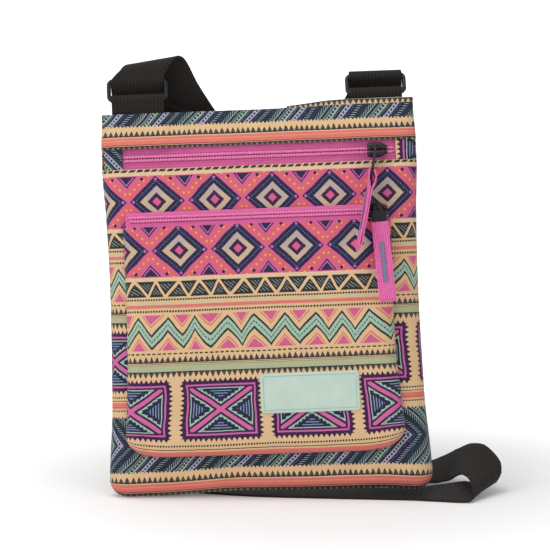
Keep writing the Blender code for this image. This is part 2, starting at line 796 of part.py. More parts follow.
def add_pocket(bag):
    half = POCKET_WIDTH / 2
    columns = print_columns(half, POCKET_EDGE_ROUND, POCKET_PHASE, POCKET_CENTRE)
    first = first_print_column(columns, POCKET_PHASE, POCKET_CENTRE)
    cloth_sheet("pocket_panel", columns, pocket_bands(), POCKET_BOTTOM, pocket_point, bag,
                first_column=first)


def ribbon(bm, stations, width, thickness):
    """Sweep a flat section through stations, each a (point, direction across the width)."""
    points = [Vector(point) for point, _ in stations]
    rings = []
    for i, (point, across) in enumerate(stations):
        before = points[max(i - 1, 0)]
        after = points[min(i + 1, len(points) - 1)]
        along = (after - before).normalized()
        across = Vector(across).normalized()
        out = along.cross(across).normalized()
        corners = []
        for a, b in ((-1, -1), (1, -1), (1, 1), (-1, 1)):
            corner = points[i] + across * (a * width / 2) + out * (b * thickness / 2)
            corners.append(bm.verts.new(corner))
        rings.append(corners)
    for first, second in zip(rings, rings[1:]):
        for i in range(4):
            after = (i + 1) % 4
            bm.faces.new((first[i], first[after], second[after], second[i]))
    bm.faces.new(reversed(rings[0]))
    bm.faces.new(rings[-1])
    bmesh.ops.recalc_face_normals(bm, faces=bm.faces)


def smooth_stations(stations, step):
    """Points of one smooth curve through hand-placed stations, with the width turning evenly."""
    points = [Vector(point) for point, _ in stations]
    acrosses = [Vector(across).normalized() for _, across in stations]
    result = []
    for i in range(len(points) - 1):
        ends = [points[max(i - 1, 0)], points[i], points[i + 1], points[min(i + 2, len(points) - 1)]]
        count = max(1, round((points[i + 1] - points[i]).length / step))
        for part in range(count):
            result.append((curve_point(ends, part / count),
                           acrosses[i].lerp(acrosses[i + 1], part / count)))
    result.append((points[-1], acrosses[-1]))
    return result


def curve_point(ends, t):
    """Point of the curve between the middle two of four points, with chord-length spacing."""
    a, b, c, d = ends
    before = max((b - a).length, 1e-6) ** 0.5
    span = max((c - b).length, 1e-6) ** 0.5
    after = max((d - c).length, 1e-6) ** 0.5
    leave = (c - b) if a == b else ((b - a) / before - (c - a) / (before + span) + (c - b) / span) * span
    arrive = (c - b) if c == d else ((c - b) / span - (d - b) / (span + after) + (d - c) / after) * span
    square = t * t
    cube = square * t
    return (b * (2 * cube - 3 * square + 1) + leave * (cube - 2 * square + t)
            + c * (3 * square - 2 * cube) + arrive * (cube - square))


def ring_matrix(side, height, tilt):
    """A ring's frame: its origin on the lower bar's axis, its z up to the other bar."""
    place = Matrix.Translation((side * RING_OFFSET, 0, BAG_HEIGHT + height))
    return place @ Matrix.Rotation(-tilt, 4, "X")


def add_ring(name, frame):
    """A rectangular ring: a round bar bent into two long bars joined by two short sides."""
    half = STRAP_WIDTH / 2 + RING_SIDE_ROOM + RING_BAR
    centres = [(half - RING_CORNER, RING_CORNER), (half - RING_CORNER, RING_SPACING - RING_CORNER),
               (RING_CORNER - half, RING_SPACING - RING_CORNER), (RING_CORNER - half, RING_CORNER)]
    path = []
    for corner, (cx, cz) in enumerate(centres):
        for i in range(4):
            angle = math.pi / 2 * (corner - 1 + i / 3)
            outward = Vector((math.cos(angle), 0, math.sin(angle)))
            path.append((Vector((cx, 0, cz)) + outward * RING_CORNER, outward))
    bm = bmesh.new()
    loops = []
    for point, outward in path:
        loop = []
        for i in range(8):
            angle = 2 * math.pi * i / 8
            offset = outward * math.cos(angle) + Vector((0, 1, 0)) * math.sin(angle)
            loop.append(bm.verts.new(point + offset * RING_BAR))
        loops.append(loop)
    for i, loop in enumerate(loops):
        following = loops[(i + 1) % len(loops)]
        for j in range(8):
            after = (j + 1) % 8
            bm.faces.new((loop[j], loop[after], following[after], following[j]))
    bmesh.ops.recalc_face_normals(bm, faces=bm.faces)
    finish_object(name, bm, ["black_plastic"], frame)


def add_anchor(name, side, height, bag):
    """Webbing folded round the ring's lower bar, its two ends sewn between the panels."""
    layer = GAP / 2 + STRAP_THICKNESS / 2
    top = BAG_HEIGHT + height
    low = BAG_HEIGHT - ANCHOR_HIDDEN
    seam = BAG_HEIGHT + (TOP_RISE if side > 0 else 0.0)
    outline = [(-layer, low), (-layer, seam)]
    for i in range(9):
        angle = math.radians(200 - 220 * i / 8)
        outline.append((WRAP_RADIUS * math.cos(angle), top + WRAP_RADIUS * math.sin(angle)))
    outline += [(layer, seam), (layer, low)]
    stations = [((side * RING_OFFSET, y, z), (1, 0, 0)) for y, z in outline]
    bm = bmesh.new()
    ribbon(bm, stations, ANCHOR_WIDTH, STRAP_THICKNESS)
    finish_object(name, bm, ["webbing"], bag)


def slider_outline(half):
    """Section across a slider: two plates joined by the wedge that runs between the teeth."""
    wedge = COIL_GAP / 2 - GAP
    flange = COIL_GAP / 2 + COIL_WIDTH + GAP
    top = SLIDER_RISE + SLIDER_PLATE
    under = -TAPE_THICKNESS - GAP
    right = [(wedge, SLIDER_RISE), (flange, SLIDER_RISE), (flange, GAP), (half, GAP),
             (half, top - SLIDER_EDGE), (half - SLIDER_EDGE, top)]
    lower_half = flange + GAP
    lower = [(lower_half - SLIDER_EDGE, under - SLIDER_PLATE),
             (lower_half, under - SLIDER_PLATE + SLIDER_EDGE), (lower_half, under), (wedge, under)]
    contour = lower + right
    return contour + [(-a, b) for a, b in reversed(contour)]


def add_slider(name, at, frame):
    """A cast slider with the bail that its pull hangs on; its origin is on the bail's bar."""
    bm = bmesh.new()
    stations = [(-0.5, 0.82), (-0.3, 0.98), (0.25, 1.0), (0.5, 0.88)]
    loops = []
    for along, share in stations:
        half = SLIDER_WIDTH / 2
        limit = COIL_GAP / 2 + COIL_WIDTH + GAP + SLIDER_EDGE
        loop = []
        for a, b in slider_outline(half):
            if abs(a) > limit:
                a = math.copysign(max(limit, abs(a) * share), a)
            loop.append(bm.verts.new((along * SLIDER_LENGTH, a, b - BAIL_AXIS)))
        loops.append(loop)
    count = len(loops[0])
    for first, second in zip(loops, loops[1:]):
        for i in range(count):
            after = (i + 1) % count
            bm.faces.new((first[i], first[after], second[after], second[i]))
    bm.faces.new(reversed(loops[0]))
    bm.faces.new(loops[-1])
    bmesh.ops.recalc_face_normals(bm, faces=bm.faces)
    made = finish_object(name, bm, ["black_zinc"], frame, Matrix.Translation((at, 0, BAIL_AXIS)))
    bail = add_bail(f"{name}_bail_shape", made)
    join = made.modifiers.new("bail", "BOOLEAN")
    join.operation = "UNION"
    join.solver = "EXACT"
    join.object = bail
    return made


def add_bail(name, slider):
    """The arch on a slider's top plate, around its origin."""
    foot = SLIDER_RISE + SLIDER_PLATE / 2 - BAIL_AXIS
    under = -BAIL_WALL / 2
    top = BAIL_WALL / 2
    right = [(BAIL_INNER, under), (BAIL_INNER, foot), (BAIL_OUTER, foot), (BAIL_OUTER, under),
             (BAIL_INNER, top)]
    outline = right + [(-a, b) for a, b in reversed(right)]
    bm = bmesh.new()
    extruded(bm, outline, BAIL_WIDTH, lambda a, b, offset: (a, offset, b))
    bail = finish_object(name, bm, ["black_zinc"], slider, smooth=False)
    bail.hide_render = True
    bail.display_type = "WIRE"
    return bail


def ring_outline(radius, count):
    return [(radius * math.cos(2 * math.pi * i / count), radius * math.sin(2 * math.pi * i / count))
            for i in range(count)]


def add_puller(name, reach, frame, across_zip):
    """A moulded pull: an eye on the bail's bar, a tapering plate and a tongue held by the pull tape."""
    eye = bmesh.new()
    extruded(eye, ring_outline(EYE_RADIUS, 16), PULLER_THICKNESS, lambda a, b, offset: (offset, a, b))
    made = finish_object(name, eye, ["black_plastic"], frame)
    top = -EYE_RADIUS * 0.6
    end = -reach
    right = [(TONGUE_WIDTH / 2, end - TONGUE_LENGTH), (TONGUE_WIDTH / 2, end),
             (PULLER_END_WIDTH / 2 - PULLER_CORNER, end), (PULLER_END_WIDTH / 2, end + PULLER_CORNER),
             (PULLER_TOP_WIDTH / 2, top - PULLER_CORNER), (EYE_RADIUS / 2, top)]
    plate_shape = right + [(-a, b) for a, b in reversed(right)]
    plate = bmesh.new()
    turned = (lambda a, b, o: (o, a, b)) if across_zip else (lambda a, b, o: (a, o, b))
    extruded(plate, plate_shape, TONGUE_THICKNESS, turned)
    plate_object = hidden_shape(f"{name}_plate_shape", plate, made)
    bore = bmesh.new()
    extruded(bore, ring_outline(EYE_BORE, 12), 2 * PULLER_THICKNESS, lambda a, b, offset: (offset, a, b))
    bore_object = hidden_shape(f"{name}_bore_shape", bore, made)
    for operation, other in (("UNION", plate_object), ("DIFFERENCE", bore_object)):
        step = made.modifiers.new(operation.lower(), "BOOLEAN")
        step.operation = operation
        step.solver = "EXACT"
        step.object = other
    return made


def hidden_shape(name, bm, parent):
    made = finish_object(name, bm, ["black_plastic"], parent, smooth=False)
    made.hide_render = True
    made.display_type = "WIRE"
    return made


def pull_tape_outline(reach, length):
    """Side view of a folded pull tape: two layers that part at the top to hold the tongue."""
    top = -reach - GAP
    slot = TONGUE_THICKNESS / 2 + GAP
    outer = slot + PULL_TAPE_LAYER
    floor = -reach - TONGUE_LENGTH - GAP
    joined = PULL_TAPE_LAYER + PULL_TAPE_GLUE
    end = top - length
    closed = floor - PULL_TAPE_CLOSING
    right = [(slot, floor), (slot, top), (outer, top), (outer, floor), (joined, closed)]
    steps = 6
    for i in range(1, steps + 1):
        right.append((joined, closed + (end - closed) * i / steps))
    return right + [(-a, b) for a, b in reversed(right)]


def add_pull_tape(name, reach, length, frame, across_zip):
    bm = bmesh.new()
    turned = (lambda a, b, o: (a, o, b)) if across_zip else (lambda a, b, o: (o, a, b))
    extruded(bm, pull_tape_outline(reach, length), PULL_TAPE_WIDTH, turned)
    finish_object(name, bm, ["pull_tape"], frame)


def add_bartack(name, reach, length, frame, across_zip):
    """A dense row of stitches down the middle of the pull tape's outer face."""
    face = PULL_TAPE_LAYER + PULL_TAPE_GLUE + GAP
    middle = -reach - length * BARTACK_AT
    half = BARTACK_WIDTH / 2
    low = (-face - BARTACK_HEIGHT, -half, middle - BARTACK_LENGTH / 2)
    high = (-face, half, middle + BARTACK_LENGTH / 2)
    if not across_zip:
        low, high = (low[1], low[0], low[2]), (high[1], high[0], high[2])
    box_object(name, low, high, "bartack", frame)


def add_pull(prefix, zip_frame, placed, at, tilt, lean, reach, length, across_zip):
    """The pull hangs down from the bail's bar, out from the cloth by tilt and to the left by lean."""
    turned_back = placed.to_3x3().inverted().to_4x4()
    hang = turned_back @ Matrix.Rotation(-tilt, 4, "X") @ Matrix.Rotation(lean, 4, "Y")
    frame = frame_empty(f"{prefix}_pull_axis", zip_frame, Matrix.Translation((at, 0, BAIL_AXIS)) @ hang)
    add_puller(f"{prefix}_zip_puller", reach, frame, across_zip)
    add_pull_tape(f"{prefix}_pull_tape", reach, length, frame, across_zip)
    add_bartack(f"{prefix}_tape_bartack", reach, length, frame, across_zip)


def add_pocket_zip(frame):
    half = POCKET_WIDTH / 2 - POCKET_TOP_ROUND - 4 * GAP
    inner = COIL_GAP / 2 + GAP
    low = POCKET_CENTRE - half
    high = POCKET_CENTRE + half
    for name, side in (("upper", 1), ("lower", -1)):
        edges = sorted((side * inner, side * (inner + POCKET_TAPE_WIDTH)))
        box_object(f"pocket_zip_tape_{name}", (low, edges[0], -TAPE_THICKNESS), (high, edges[1], 0.0),
                   "zip_tape", frame)
        add_coil(f"pocket_zip_coil_{name}", side, low + GAP, high - GAP, frame)


def add_label(bag):
    """A bare woven patch sewn flat on the pocket's face."""
    back = -pocket_face(LABEL_Z) - GAP
    low = (LABEL_X - LABEL_WIDTH / 2, back - LABEL_THICKNESS, LABEL_Z - LABEL_HEIGHT / 2)
    high = (LABEL_X + LABEL_WIDTH / 2, back, LABEL_Z + LABEL_HEIGHT / 2)
    box_object("label_patch", low, high, "label_cloth", bag, bevel=0.0003)


def on_bag(point):
    return bag_matrix() @ Vector(point)


def ring_bar(side, height, tilt):
    """Middle of a ring's upper bar, in the bag's frame."""
    return ring_matrix(side, height, tilt) @ Vector((0, 0, RING_SPACING))


def around_bar(centre, start, end, count, across, radius=WRAP_RADIUS):
    """Stations round a bar, by angles in degrees from straight back, turning over its top."""
    stations = []
    for i in range(count + 1):
        angle = math.radians(start + (end - start) * i / count)
        offset = Vector((0, radius * math.cos(angle), radius * math.sin(angle)))
        stations.append((on_bag(centre + offset), across))
    return stations


def adjuster_matrix():
    """The adjuster's frame on the strap's left leg: x across, y out of the bag's back, z up the leg."""
    up = Vector(ADJUSTER_UP).normalized()
    across = Vector(ADJUSTER_ACROSS)
    across = (across - up * across.dot(up)).normalized()
    out = up.cross(across)
    matrix = Matrix((across, out, up)).transposed().to_4x4()
    return Matrix.Translation(ADJUSTER_AT) @ matrix


def leg_station(out, up):
    """A station on the left leg, by its place in the adjuster's frame."""
    matrix = adjuster_matrix()
    return matrix @ Vector((0, out, up)), matrix.to_3x3() @ Vector((1, 0, 0))


def adjuster_levels():
    """Distances out from the strap's own line: the bars' middle, a wrap and the strap over it."""
    step = STRAP_THICKNESS + GAP
    bars = STRAP_THICKNESS / 2 + GAP + ADJUSTER_BAR
    wrap = ADJUSTER_BAR * math.sqrt(2) + GAP + STRAP_THICKNESS / 2
    return step, bars, wrap


def beside(bar, offset):
    """A station's place beside a ring's bar, by its offset in route units in the bag's frame."""
    return on_bag(bar + Vector(offset) * ROUTE_UNIT)


def strap_stations():
    """The strap from the adjuster over the left ring, round the loop on the floor, to the right ring."""
    step, bars, wrap = adjuster_levels()
    unit = ROUTE_UNIT
    tail = [(-step, 17.0 * unit), (-step, 9.5 * unit), (-0.35 * step, 5.2 * unit), (0.9 * unit, 3.2 * unit)]
    hook = [(bars + wrap * math.sin(a), wrap * math.cos(a)) for a in
            (math.radians(20 + 50 * i) for i in range(5))]
    hook += [(bars - wrap, 0.0), (-1.55 * step, 5.0 * unit), (-2 * step, 9.5 * unit),
             (-2 * step, 20.0 * unit)]
    stations = [leg_station(out, up) for out, up in tail + hook]

    left = ring_bar(-1, RING_LEFT_HEIGHT, RING_LEFT_TILT)
    level = on_bag((1, 0, 0)) - on_bag((0, 0, 0))
    stations.append((beside(left, (4.0, 12.0, -20.0)), (0.97, 0, 0.22)))
    stations += around_bar(left, -142, -180, 2, level)
    stations.append((on_bag(left + Vector((unit, -WRAP_RADIUS, 4.0 * unit))), (0.995, 0, 0.10)))
    stations.append((beside(left, (4.5, -2.4, 9.0)), (0.985, 0, 0.17)))
    stations.append((beside(left, (8.0, 1.5, 12.2)), (0.985, 0, 0.17)))
    stations.append((beside(left, (12.0, 6.8, 11.0)), (0.97, 0, 0.24)))
    stations.append((beside(left, (17.0, 11.2, 3.0)), (0.92, 0, 0.39)))
    stations.append((beside(left, (25.0, 15.0, -12.0)), (0.86, 0, 0.50)))

    weave = [(0.0, 17.0 * unit), (0.0, 9.5 * unit), (0.0, 7.8 * unit), (1.6 * unit, 6.2 * unit),
             (4.8 * unit, 4.1 * unit), (6.5 * unit, 2.3 * unit), (bars + wrap + step + GAP, 0.0)]
    weave += [(out, -up) for out, up in reversed(weave[:-1])]
    stations += [leg_station(out, up) for out, up in weave]

    stations += [(Vector(point) * unit, across) for point, across in LOOP_ROUTE]

    right = ring_bar(1, RING_RIGHT_HEIGHT, RING_RIGHT_TILT)
    stations.append((beside(right, (-2.0, 6.8, -15.0)), (0.99, 0, -0.08)))
    stations += around_bar(right, -12, 258, 8, level)
    stations.append((beside(right, (0.0, 3.0, -8.5)), level))
    tail_end = right - Vector((0, 0, STRAP_TAIL / 2))
    stations.append((beside(tail_end, (-5.2, 6.4, -15.0)), (0.98, 0, -0.16)))
    return stations


def add_strap():
    stations = smooth_stations(strap_stations(), STRAP_STEP)
    for point, _ in stations:
        point.z = max(point.z, STRAP_THICKNESS / 2)
    bm = bmesh.new()
    ribbon(bm, stations, STRAP_WIDTH, STRAP_THICKNESS)
    finish_object("shoulder_strap", bm, ["webbing"])


def add_adjuster():
    """A three-bar slide: the strap's end is sewn round its middle bar and the strap runs over it."""
    step, bars, wrap = adjuster_levels()
    frame = frame_empty("adjuster_frame", None, adjuster_matrix())
    inner = STRAP_WIDTH / 2 + RING_SIDE_ROOM
    pitch = 2 * ADJUSTER_BAR + ADJUSTER_SLOT
    bm = bmesh.new()
    low = -pitch - ADJUSTER_BAR
    outline = [(-inner - ADJUSTER_SIDE, low), (inner + ADJUSTER_SIDE, low),
               (inner + ADJUSTER_SIDE, -low), (-inner - ADJUSTER_SIDE, -low)]
    extruded(bm, outline, 2 * ADJUSTER_BAR, lambda a, b, offset: (a, bars + offset, b))
    made = finish_object("strap_adjuster", bm, ["black_plastic"], frame, smooth=False)
    for name, side in (("upper", 1), ("lower", -1)):
        slot = bmesh.new()
        edges = sorted((side * ADJUSTER_BAR, side * (ADJUSTER_BAR + ADJUSTER_SLOT)))
        box(slot, (-inner, bars - 3 * ADJUSTER_BAR, edges[0]), (inner, bars + 3 * ADJUSTER_BAR, edges[1]))
        cutter = hidden_shape(f"adjuster_{name}_slot_shape", slot, frame)
        cut = made.modifiers.new(f"{name} slot", "BOOLEAN")
        cut.operation = "DIFFERENCE"
        cut.solver = "EXACT"
        cut.object = cutter


def build_bag():
    clear_scene()
    bag = frame_empty("bag_frame", None, bag_matrix())
    add_front_panel(bag)
    add_top_band(bag)
    add_back_panel(bag)
    add_lining(bag)
    add_zip_tabs(bag)
    main_zip = frame_empty("main_zip_frame", bag, main_zip_matrix())
    add_main_zip(main_zip)
    add_slider("main_zip_slider", MAIN_SLIDER_AT, main_zip)
    add_pull("main", main_zip, main_zip_matrix(), MAIN_SLIDER_AT - MAIN_PULL_SHIFT, MAIN_PULL_TILT,
             MAIN_PULL_LEAN, MAIN_PULLER_LENGTH, MAIN_PULL_LENGTH, True)
    add_pocket(bag)
    pocket_zip = frame_empty("pocket_zip_frame", bag, pocket_zip_matrix())
    add_pocket_zip(pocket_zip)
    add_slider("pocket_zip_slider", POCKET_SLIDER_AT, pocket_zip)
    add_pull("pocket", pocket_zip, pocket_zip_matrix(), POCKET_SLIDER_AT, POCKET_PULL_TILT,
             POCKET_PULL_LEAN, POCKET_PULLER_LENGTH, POCKET_PULL_LENGTH, False)
    add_label(bag)
    for name, side, height, tilt in (("left", -1, RING_LEFT_HEIGHT, RING_LEFT_TILT),
                                     ("right", 1, RING_RIGHT_HEIGHT, RING_RIGHT_TILT)):
        axis = frame_empty(f"ring_{name}_axis", bag, ring_matrix(side, height, tilt))
        add_ring(f"ring_{name}", axis)
        add_anchor(f"strap_anchor_{name}", side, height, bag)
    add_strap()
    add_adjuster()


build_bag()
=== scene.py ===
"""A flat shoulder bag of printed cloth, standing on the floor and leaning on its own webbing strap."""
import math

import bmesh
import bpy
from mathutils import Matrix, Vector, noise


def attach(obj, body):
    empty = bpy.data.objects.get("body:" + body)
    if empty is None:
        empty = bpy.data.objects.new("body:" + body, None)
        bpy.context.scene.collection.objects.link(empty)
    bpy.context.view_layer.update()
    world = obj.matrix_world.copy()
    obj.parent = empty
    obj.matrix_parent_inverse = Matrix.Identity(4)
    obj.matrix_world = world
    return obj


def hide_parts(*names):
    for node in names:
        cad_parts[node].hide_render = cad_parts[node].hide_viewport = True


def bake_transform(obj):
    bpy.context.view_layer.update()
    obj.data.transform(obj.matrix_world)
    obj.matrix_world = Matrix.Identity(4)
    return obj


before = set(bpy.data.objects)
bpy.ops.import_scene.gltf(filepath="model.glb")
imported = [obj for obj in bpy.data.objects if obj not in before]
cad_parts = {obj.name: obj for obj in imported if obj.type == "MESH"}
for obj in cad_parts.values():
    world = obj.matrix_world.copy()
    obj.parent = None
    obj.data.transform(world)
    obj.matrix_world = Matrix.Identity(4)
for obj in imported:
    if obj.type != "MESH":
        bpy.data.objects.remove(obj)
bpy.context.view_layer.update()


# Camera
# The photograph is taken from straight ahead and a little above, with a long lens. Its frame takes in
# 0.39 m at the bag.
CAMERA_DOWN = math.radians(8.0)
VIEW_WIDTH = 0.3927
VIEW_MIDDLE = Vector((0.0050, 0.0, 0.1607))
camera_data = bpy.data.cameras.new("camera")
camera_data.sensor_width = 36.0
camera_data.lens = 200.0
camera = bpy.data.objects.new("camera", camera_data)
bpy.context.scene.collection.objects.link(camera)
distance = VIEW_WIDTH * camera_data.lens / camera_data.sensor_width
forward = Vector((0.0, math.cos(CAMERA_DOWN), -math.sin(CAMERA_DOWN)))
camera.location = VIEW_MIDDLE - forward * distance
camera.rotation_euler = (math.pi / 2 - CAMERA_DOWN, 0.0, 0.0)
bpy.context.scene.camera = camera


# Floor and light
# A white sweep under three soft windows. Seen by the eye it also glows, more so far off, so that it stays
# white as paper there and keeps the soft shadow at the bag's foot.
FLOOR_MIDDLE = (0.03, 0.02, 0.0)
FLOOR_HALF = 12.0
GLOW_STARTS, GLOW_FULL = 0.10, 0.55
GLOW_LEAST, GLOW_MOST = 0.10, 0.85
WHITE = (1.0, 1.0, 1.0, 1.0)


def plug(value, socket):
    """Set a socket to a value, or link it from a number or from another socket."""
    value = value.socket if isinstance(value, Number) else value
    if isinstance(value, bpy.types.NodeSocket):
        socket.id_data.links.new(value, socket)
    else:
        socket.default_value = value


def feed(node, **values):
    """Set or link a node's inputs by name, with _ for a space, and hand the node back."""
    for key, value in values.items():
        plug(value, node.inputs[key.replace("_", " ")])
    return node


class Number:
    """A number in a shader tree: arithmetic on it adds Math nodes."""

    def __init__(self, tree, socket):
        self.tree = tree
        self.socket = socket

    def apply(self, operation, *others, clamp=False):
        node = self.tree.nodes.new("ShaderNodeMath")
        node.operation = operation
        node.use_clamp = clamp
        for i, value in enumerate((self,) + others):
            plug(value, node.inputs[i])
        return Number(self.tree, node.outputs[0])

    def __add__(self, other):
        return self.apply("ADD", other)

    def __sub__(self, other):
        return self.apply("SUBTRACT", other)

    def __mul__(self, other):
        return self.apply("MULTIPLY", other)

    def __truediv__(self, other):
        return self.apply("DIVIDE", other)

    def __lt__(self, other):
        return self.apply("LESS_THAN", other)

    def __gt__(self, other):
        return self.apply("GREATER_THAN", other)

    def __and__(self, other):
        return self.apply("MULTIPLY", other)

    def __or__(self, other):
        return self.apply("MAXIMUM", other)

    def inverse(self):
        return self.apply("MULTIPLY_ADD", -1.0, 1.0)

    def size(self):
        return self.apply("ABSOLUTE")

    def larger(self, other):
        return self.apply("MAXIMUM", other)

    def cell(self, pitch, shift=0.0):
        """Distance from the middle of its own repeat, from -pitch / 2 to pitch / 2."""
        return (self - shift).apply("WRAP", pitch / 2, -pitch / 2)

    def inside(self, low, high):
        return (self > low) & (self < high)

    def tooth(self, pitch, shift=0.0):
        """1 at the middle of each repeat and 0 between repeats, in straight slopes."""
        return (self.cell(pitch, shift).size() * (-2.0 / pitch)) + 1.0

    def ramp(self, low, high):
        """0 below low and 1 above high, with a smooth step between them."""
        node = self.tree.nodes.new("ShaderNodeMapRange")
        node.interpolation_type = "SMOOTHSTEP"
        return Number(self.tree, feed(node, Value=self, From_Min=low, From_Max=high).outputs["Result"])


def new_material(name):
    made = bpy.data.materials.new(name)
    made.use_nodes = True
    return made, made.node_tree, made.node_tree.nodes["Principled BSDF"]


def finish_piece(name, bm, material, outward=True):
    """Link a mesh as a piece, with its place in the mesh; outward turns all its faces out."""
    if outward:
        bmesh.ops.recalc_face_normals(bm, faces=bm.faces)
    mesh = bpy.data.meshes.new(name)
    bm.to_mesh(mesh)
    bm.free()
    mesh.materials.append(material)
    mesh.shade_smooth()
    mesh.set_sharp_from_angle(angle=math.radians(50))
    made = bpy.data.objects.new(name, mesh)
    bpy.context.scene.collection.objects.link(made)
    return made


def add_seen_mask(tree):
    """1 for rays that come straight from the eye or by way of a gloss or a clear piece, else 0."""
    path = tree.nodes.new("ShaderNodeLightPath")
    direct, glossy, through = (Number(tree, path.outputs[f"Is {kind} Ray"])
                               for kind in ("Camera", "Glossy", "Transmission"))
    return (direct + glossy).apply("ADD", through, clamp=True)


def add_floor():
    made, tree, shader = new_material("floor white")
    place = tree.nodes.new("ShaderNodeNewGeometry")
    far = tree.nodes.new("ShaderNodeVectorMath")
    far.operation = "DISTANCE"
    plug(place.outputs["Position"], far.inputs[0])
    plug(FLOOR_MIDDLE, far.inputs[1])
    near_to_far = Number(tree, far.outputs["Value"]).ramp(GLOW_STARTS, GLOW_FULL)
    glow = near_to_far * (GLOW_MOST - GLOW_LEAST) + GLOW_LEAST
    feed(shader, Base_Color=(0.93, 0.93, 0.93, 1.0), Roughness=0.9, Emission_Color=WHITE,
         Emission_Strength=glow * add_seen_mask(tree))
    bm = bmesh.new()
    corners = ((-1, -1), (1, -1), (1, 1), (-1, 1))
    bm.faces.new([bm.verts.new((FLOOR_HALF * x, FLOOR_HALF * y, 0.0)) for x, y in corners])
    finish_piece("floor", bm, made, outward=False)


def add_light(name, location, target, size, power):
    data = bpy.data.lights.new(name, "AREA")
    data.shape = "RECTANGLE"
    data.size, data.size_y = size
    data.energy = power
    light = bpy.data.objects.new(name, data)
    bpy.context.scene.collection.objects.link(light)
    light.location = location
    light.rotation_euler = (Vector(target) - Vector(location)).to_track_quat("-Z", "Y").to_euler()


def add_world():
    world = bpy.data.worlds.new("white studio")
    bpy.context.scene.world = world
    world.use_nodes = True
    tree = world.node_tree
    around = feed(tree.nodes["Background"], Color=WHITE, Strength=0.40)
    seen = feed(tree.nodes.new("ShaderNodeBackground"), Color=WHITE, Strength=1.0)
    mix = feed(tree.nodes.new("ShaderNodeMixShader"), Fac=add_seen_mask(tree))
    plug(around.outputs[0], mix.inputs[1])
    plug(seen.outputs[0], mix.inputs[2])
    feed(tree.nodes["World Output"], Surface=mix.outputs[0])


add_floor()
add_world()
add_light("window above", (-0.30, -0.25, 1.50), (0.0, 0.02, 0.10), (1.3, 1.1), 10.0)
add_light("window left", (-1.10, -1.00, 0.80), (0.0, 0.0, 0.14), (0.9, 0.9), 6.2)
add_light("fill right", (1.20, -1.30, 0.55), (0.0, 0.0, 0.14), (1.0, 1.0), 3.6)
bpy.context.scene.view_settings.view_transform = "Standard"


# Shoulder strap
# One length of ribbed black webbing, 38 mm wide. It is sewn to the slide's middle bar, turns over the
# left ring, runs back through the slide and down behind the bag, lies in a loop on the floor, passes
# under the bag, which stands on it, and climbs behind it to the right ring, where its end is sewn down.
GAP = 0.0003
BAG_HEIGHT = 0.2742
LEAN = math.radians(8.0)
TURN = math.radians(2.2)
BAG_PLACE = (Matrix.Translation((0.00275, 0.0, 0.0045)) @ Matrix.Rotation(-LEAN, 4, "X")
             @ Matrix.Rotation(-TURN, 4, "Y"))
STRAP_WIDTH = 0.0380
STRAP_THICKNESS = 0.0014
STRAP_STEP = 0.0034
RING_OFFSET = 0.0860
RING_BAR = 0.0020
RING_SPACING = 0.0140
RING_SIDE_ROOM = 0.0008
WRAP_RADIUS = RING_BAR + GAP + STRAP_THICKNESS / 2
BELLY = 0.0032
WAIST = 0.0018
SAG = 0.0027
SIDE_AT = 0.112
RINGS = {
    "left": {"side": -1, "height": 0.0105, "tilt": math.radians(12.0)},
    "right": {"side": 1, "height": 0.0093, "tilt": math.radians(28.0)},
}
ADJUSTER_BAR = 0.0013
ADJUSTER_SLOT = 0.0069


def bump_between(position, start, end):
    """0 before start and 1 after end, with a smooth step between them."""
    part = min(1.0, max(0.0, (position - start) / (end - start)))
    return part * part * (3 - 2 * part)


def on_bag(point):
    """A point of the bag set down on the floor: it bulges and sags low down and draws in above that."""
    x, y, z = point
    wider = BELLY * (1 - bump_between(z, 0.005, 0.065)) + WAIST / 2 * bump_between(z, 0.200, 0.235)
    wider *= 1 - bump_between(z, 0.250, 0.270)
    wider -= WAIST * bump_between(z, 0.030, 0.140) * (1 - bump_between(z, 0.155, 0.240))
    sag = SAG * bump_between(x, -0.070, 0.060) * (1 - bump_between(z, 0.0, 0.040))
    return BAG_PLACE @ Vector((x * (1 + wider / SIDE_AT), y, z - sag))


def level_across():
    """The direction across the bag, from its left to its right, as it stands."""
    return on_bag((1, 0, 0)) - on_bag((0, 0, 0))


def ring_place(name):
    """A ring's frame on the bag: its origin on the lower bar, its z up to the other bar."""
    ring = RINGS[name]
    place = Matrix.Translation((ring["side"] * RING_OFFSET, 0, BAG_HEIGHT + ring["height"]))
    return place @ Matrix.Rotation(-ring["tilt"], 4, "X")


def upper_bar(name):
    return ring_place(name) @ Vector((0, 0, RING_SPACING))


def adjuster_place():
    """The slide's frame on the strap's left leg: x across, y out of the bag's back, z up the leg."""
    up = Vector((-0.54, -0.10, 0.83)).normalized()
    across = Vector((0.83, 0.0, 0.54))
    across = (across - up * across.dot(up)).normalized()
    matrix = Matrix((across, up.cross(across), up)).transposed().to_4x4()
    return Matrix.Translation((-0.0390, 0.0650, 0.2390)) @ matrix


def leg_station(out, up):
    place = adjuster_place()
    return place @ Vector((0, out, up)), place.to_3x3() @ Vector((1, 0, 0))


def adjuster_levels():
    """Distances out from the strap's own line: one layer, the bars' middle and the fold round a bar."""
    wrap = ADJUSTER_BAR * math.sqrt(2) + GAP + STRAP_THICKNESS / 2
    return STRAP_THICKNESS + GAP, STRAP_THICKNESS / 2 + GAP + ADJUSTER_BAR, wrap


def around_bar(centre, start, end, count, across):
    """Stations round a ring's bar, by angles in degrees from straight back, over its top."""
    stations = []
    for i in range(count + 1):
        angle = math.radians(start + (end - start) * i / count)
        offset = Vector((0, WRAP_RADIUS * math.cos(angle), WRAP_RADIUS * math.sin(angle)))
        stations.append((on_bag(centre + offset), across))
    return stations


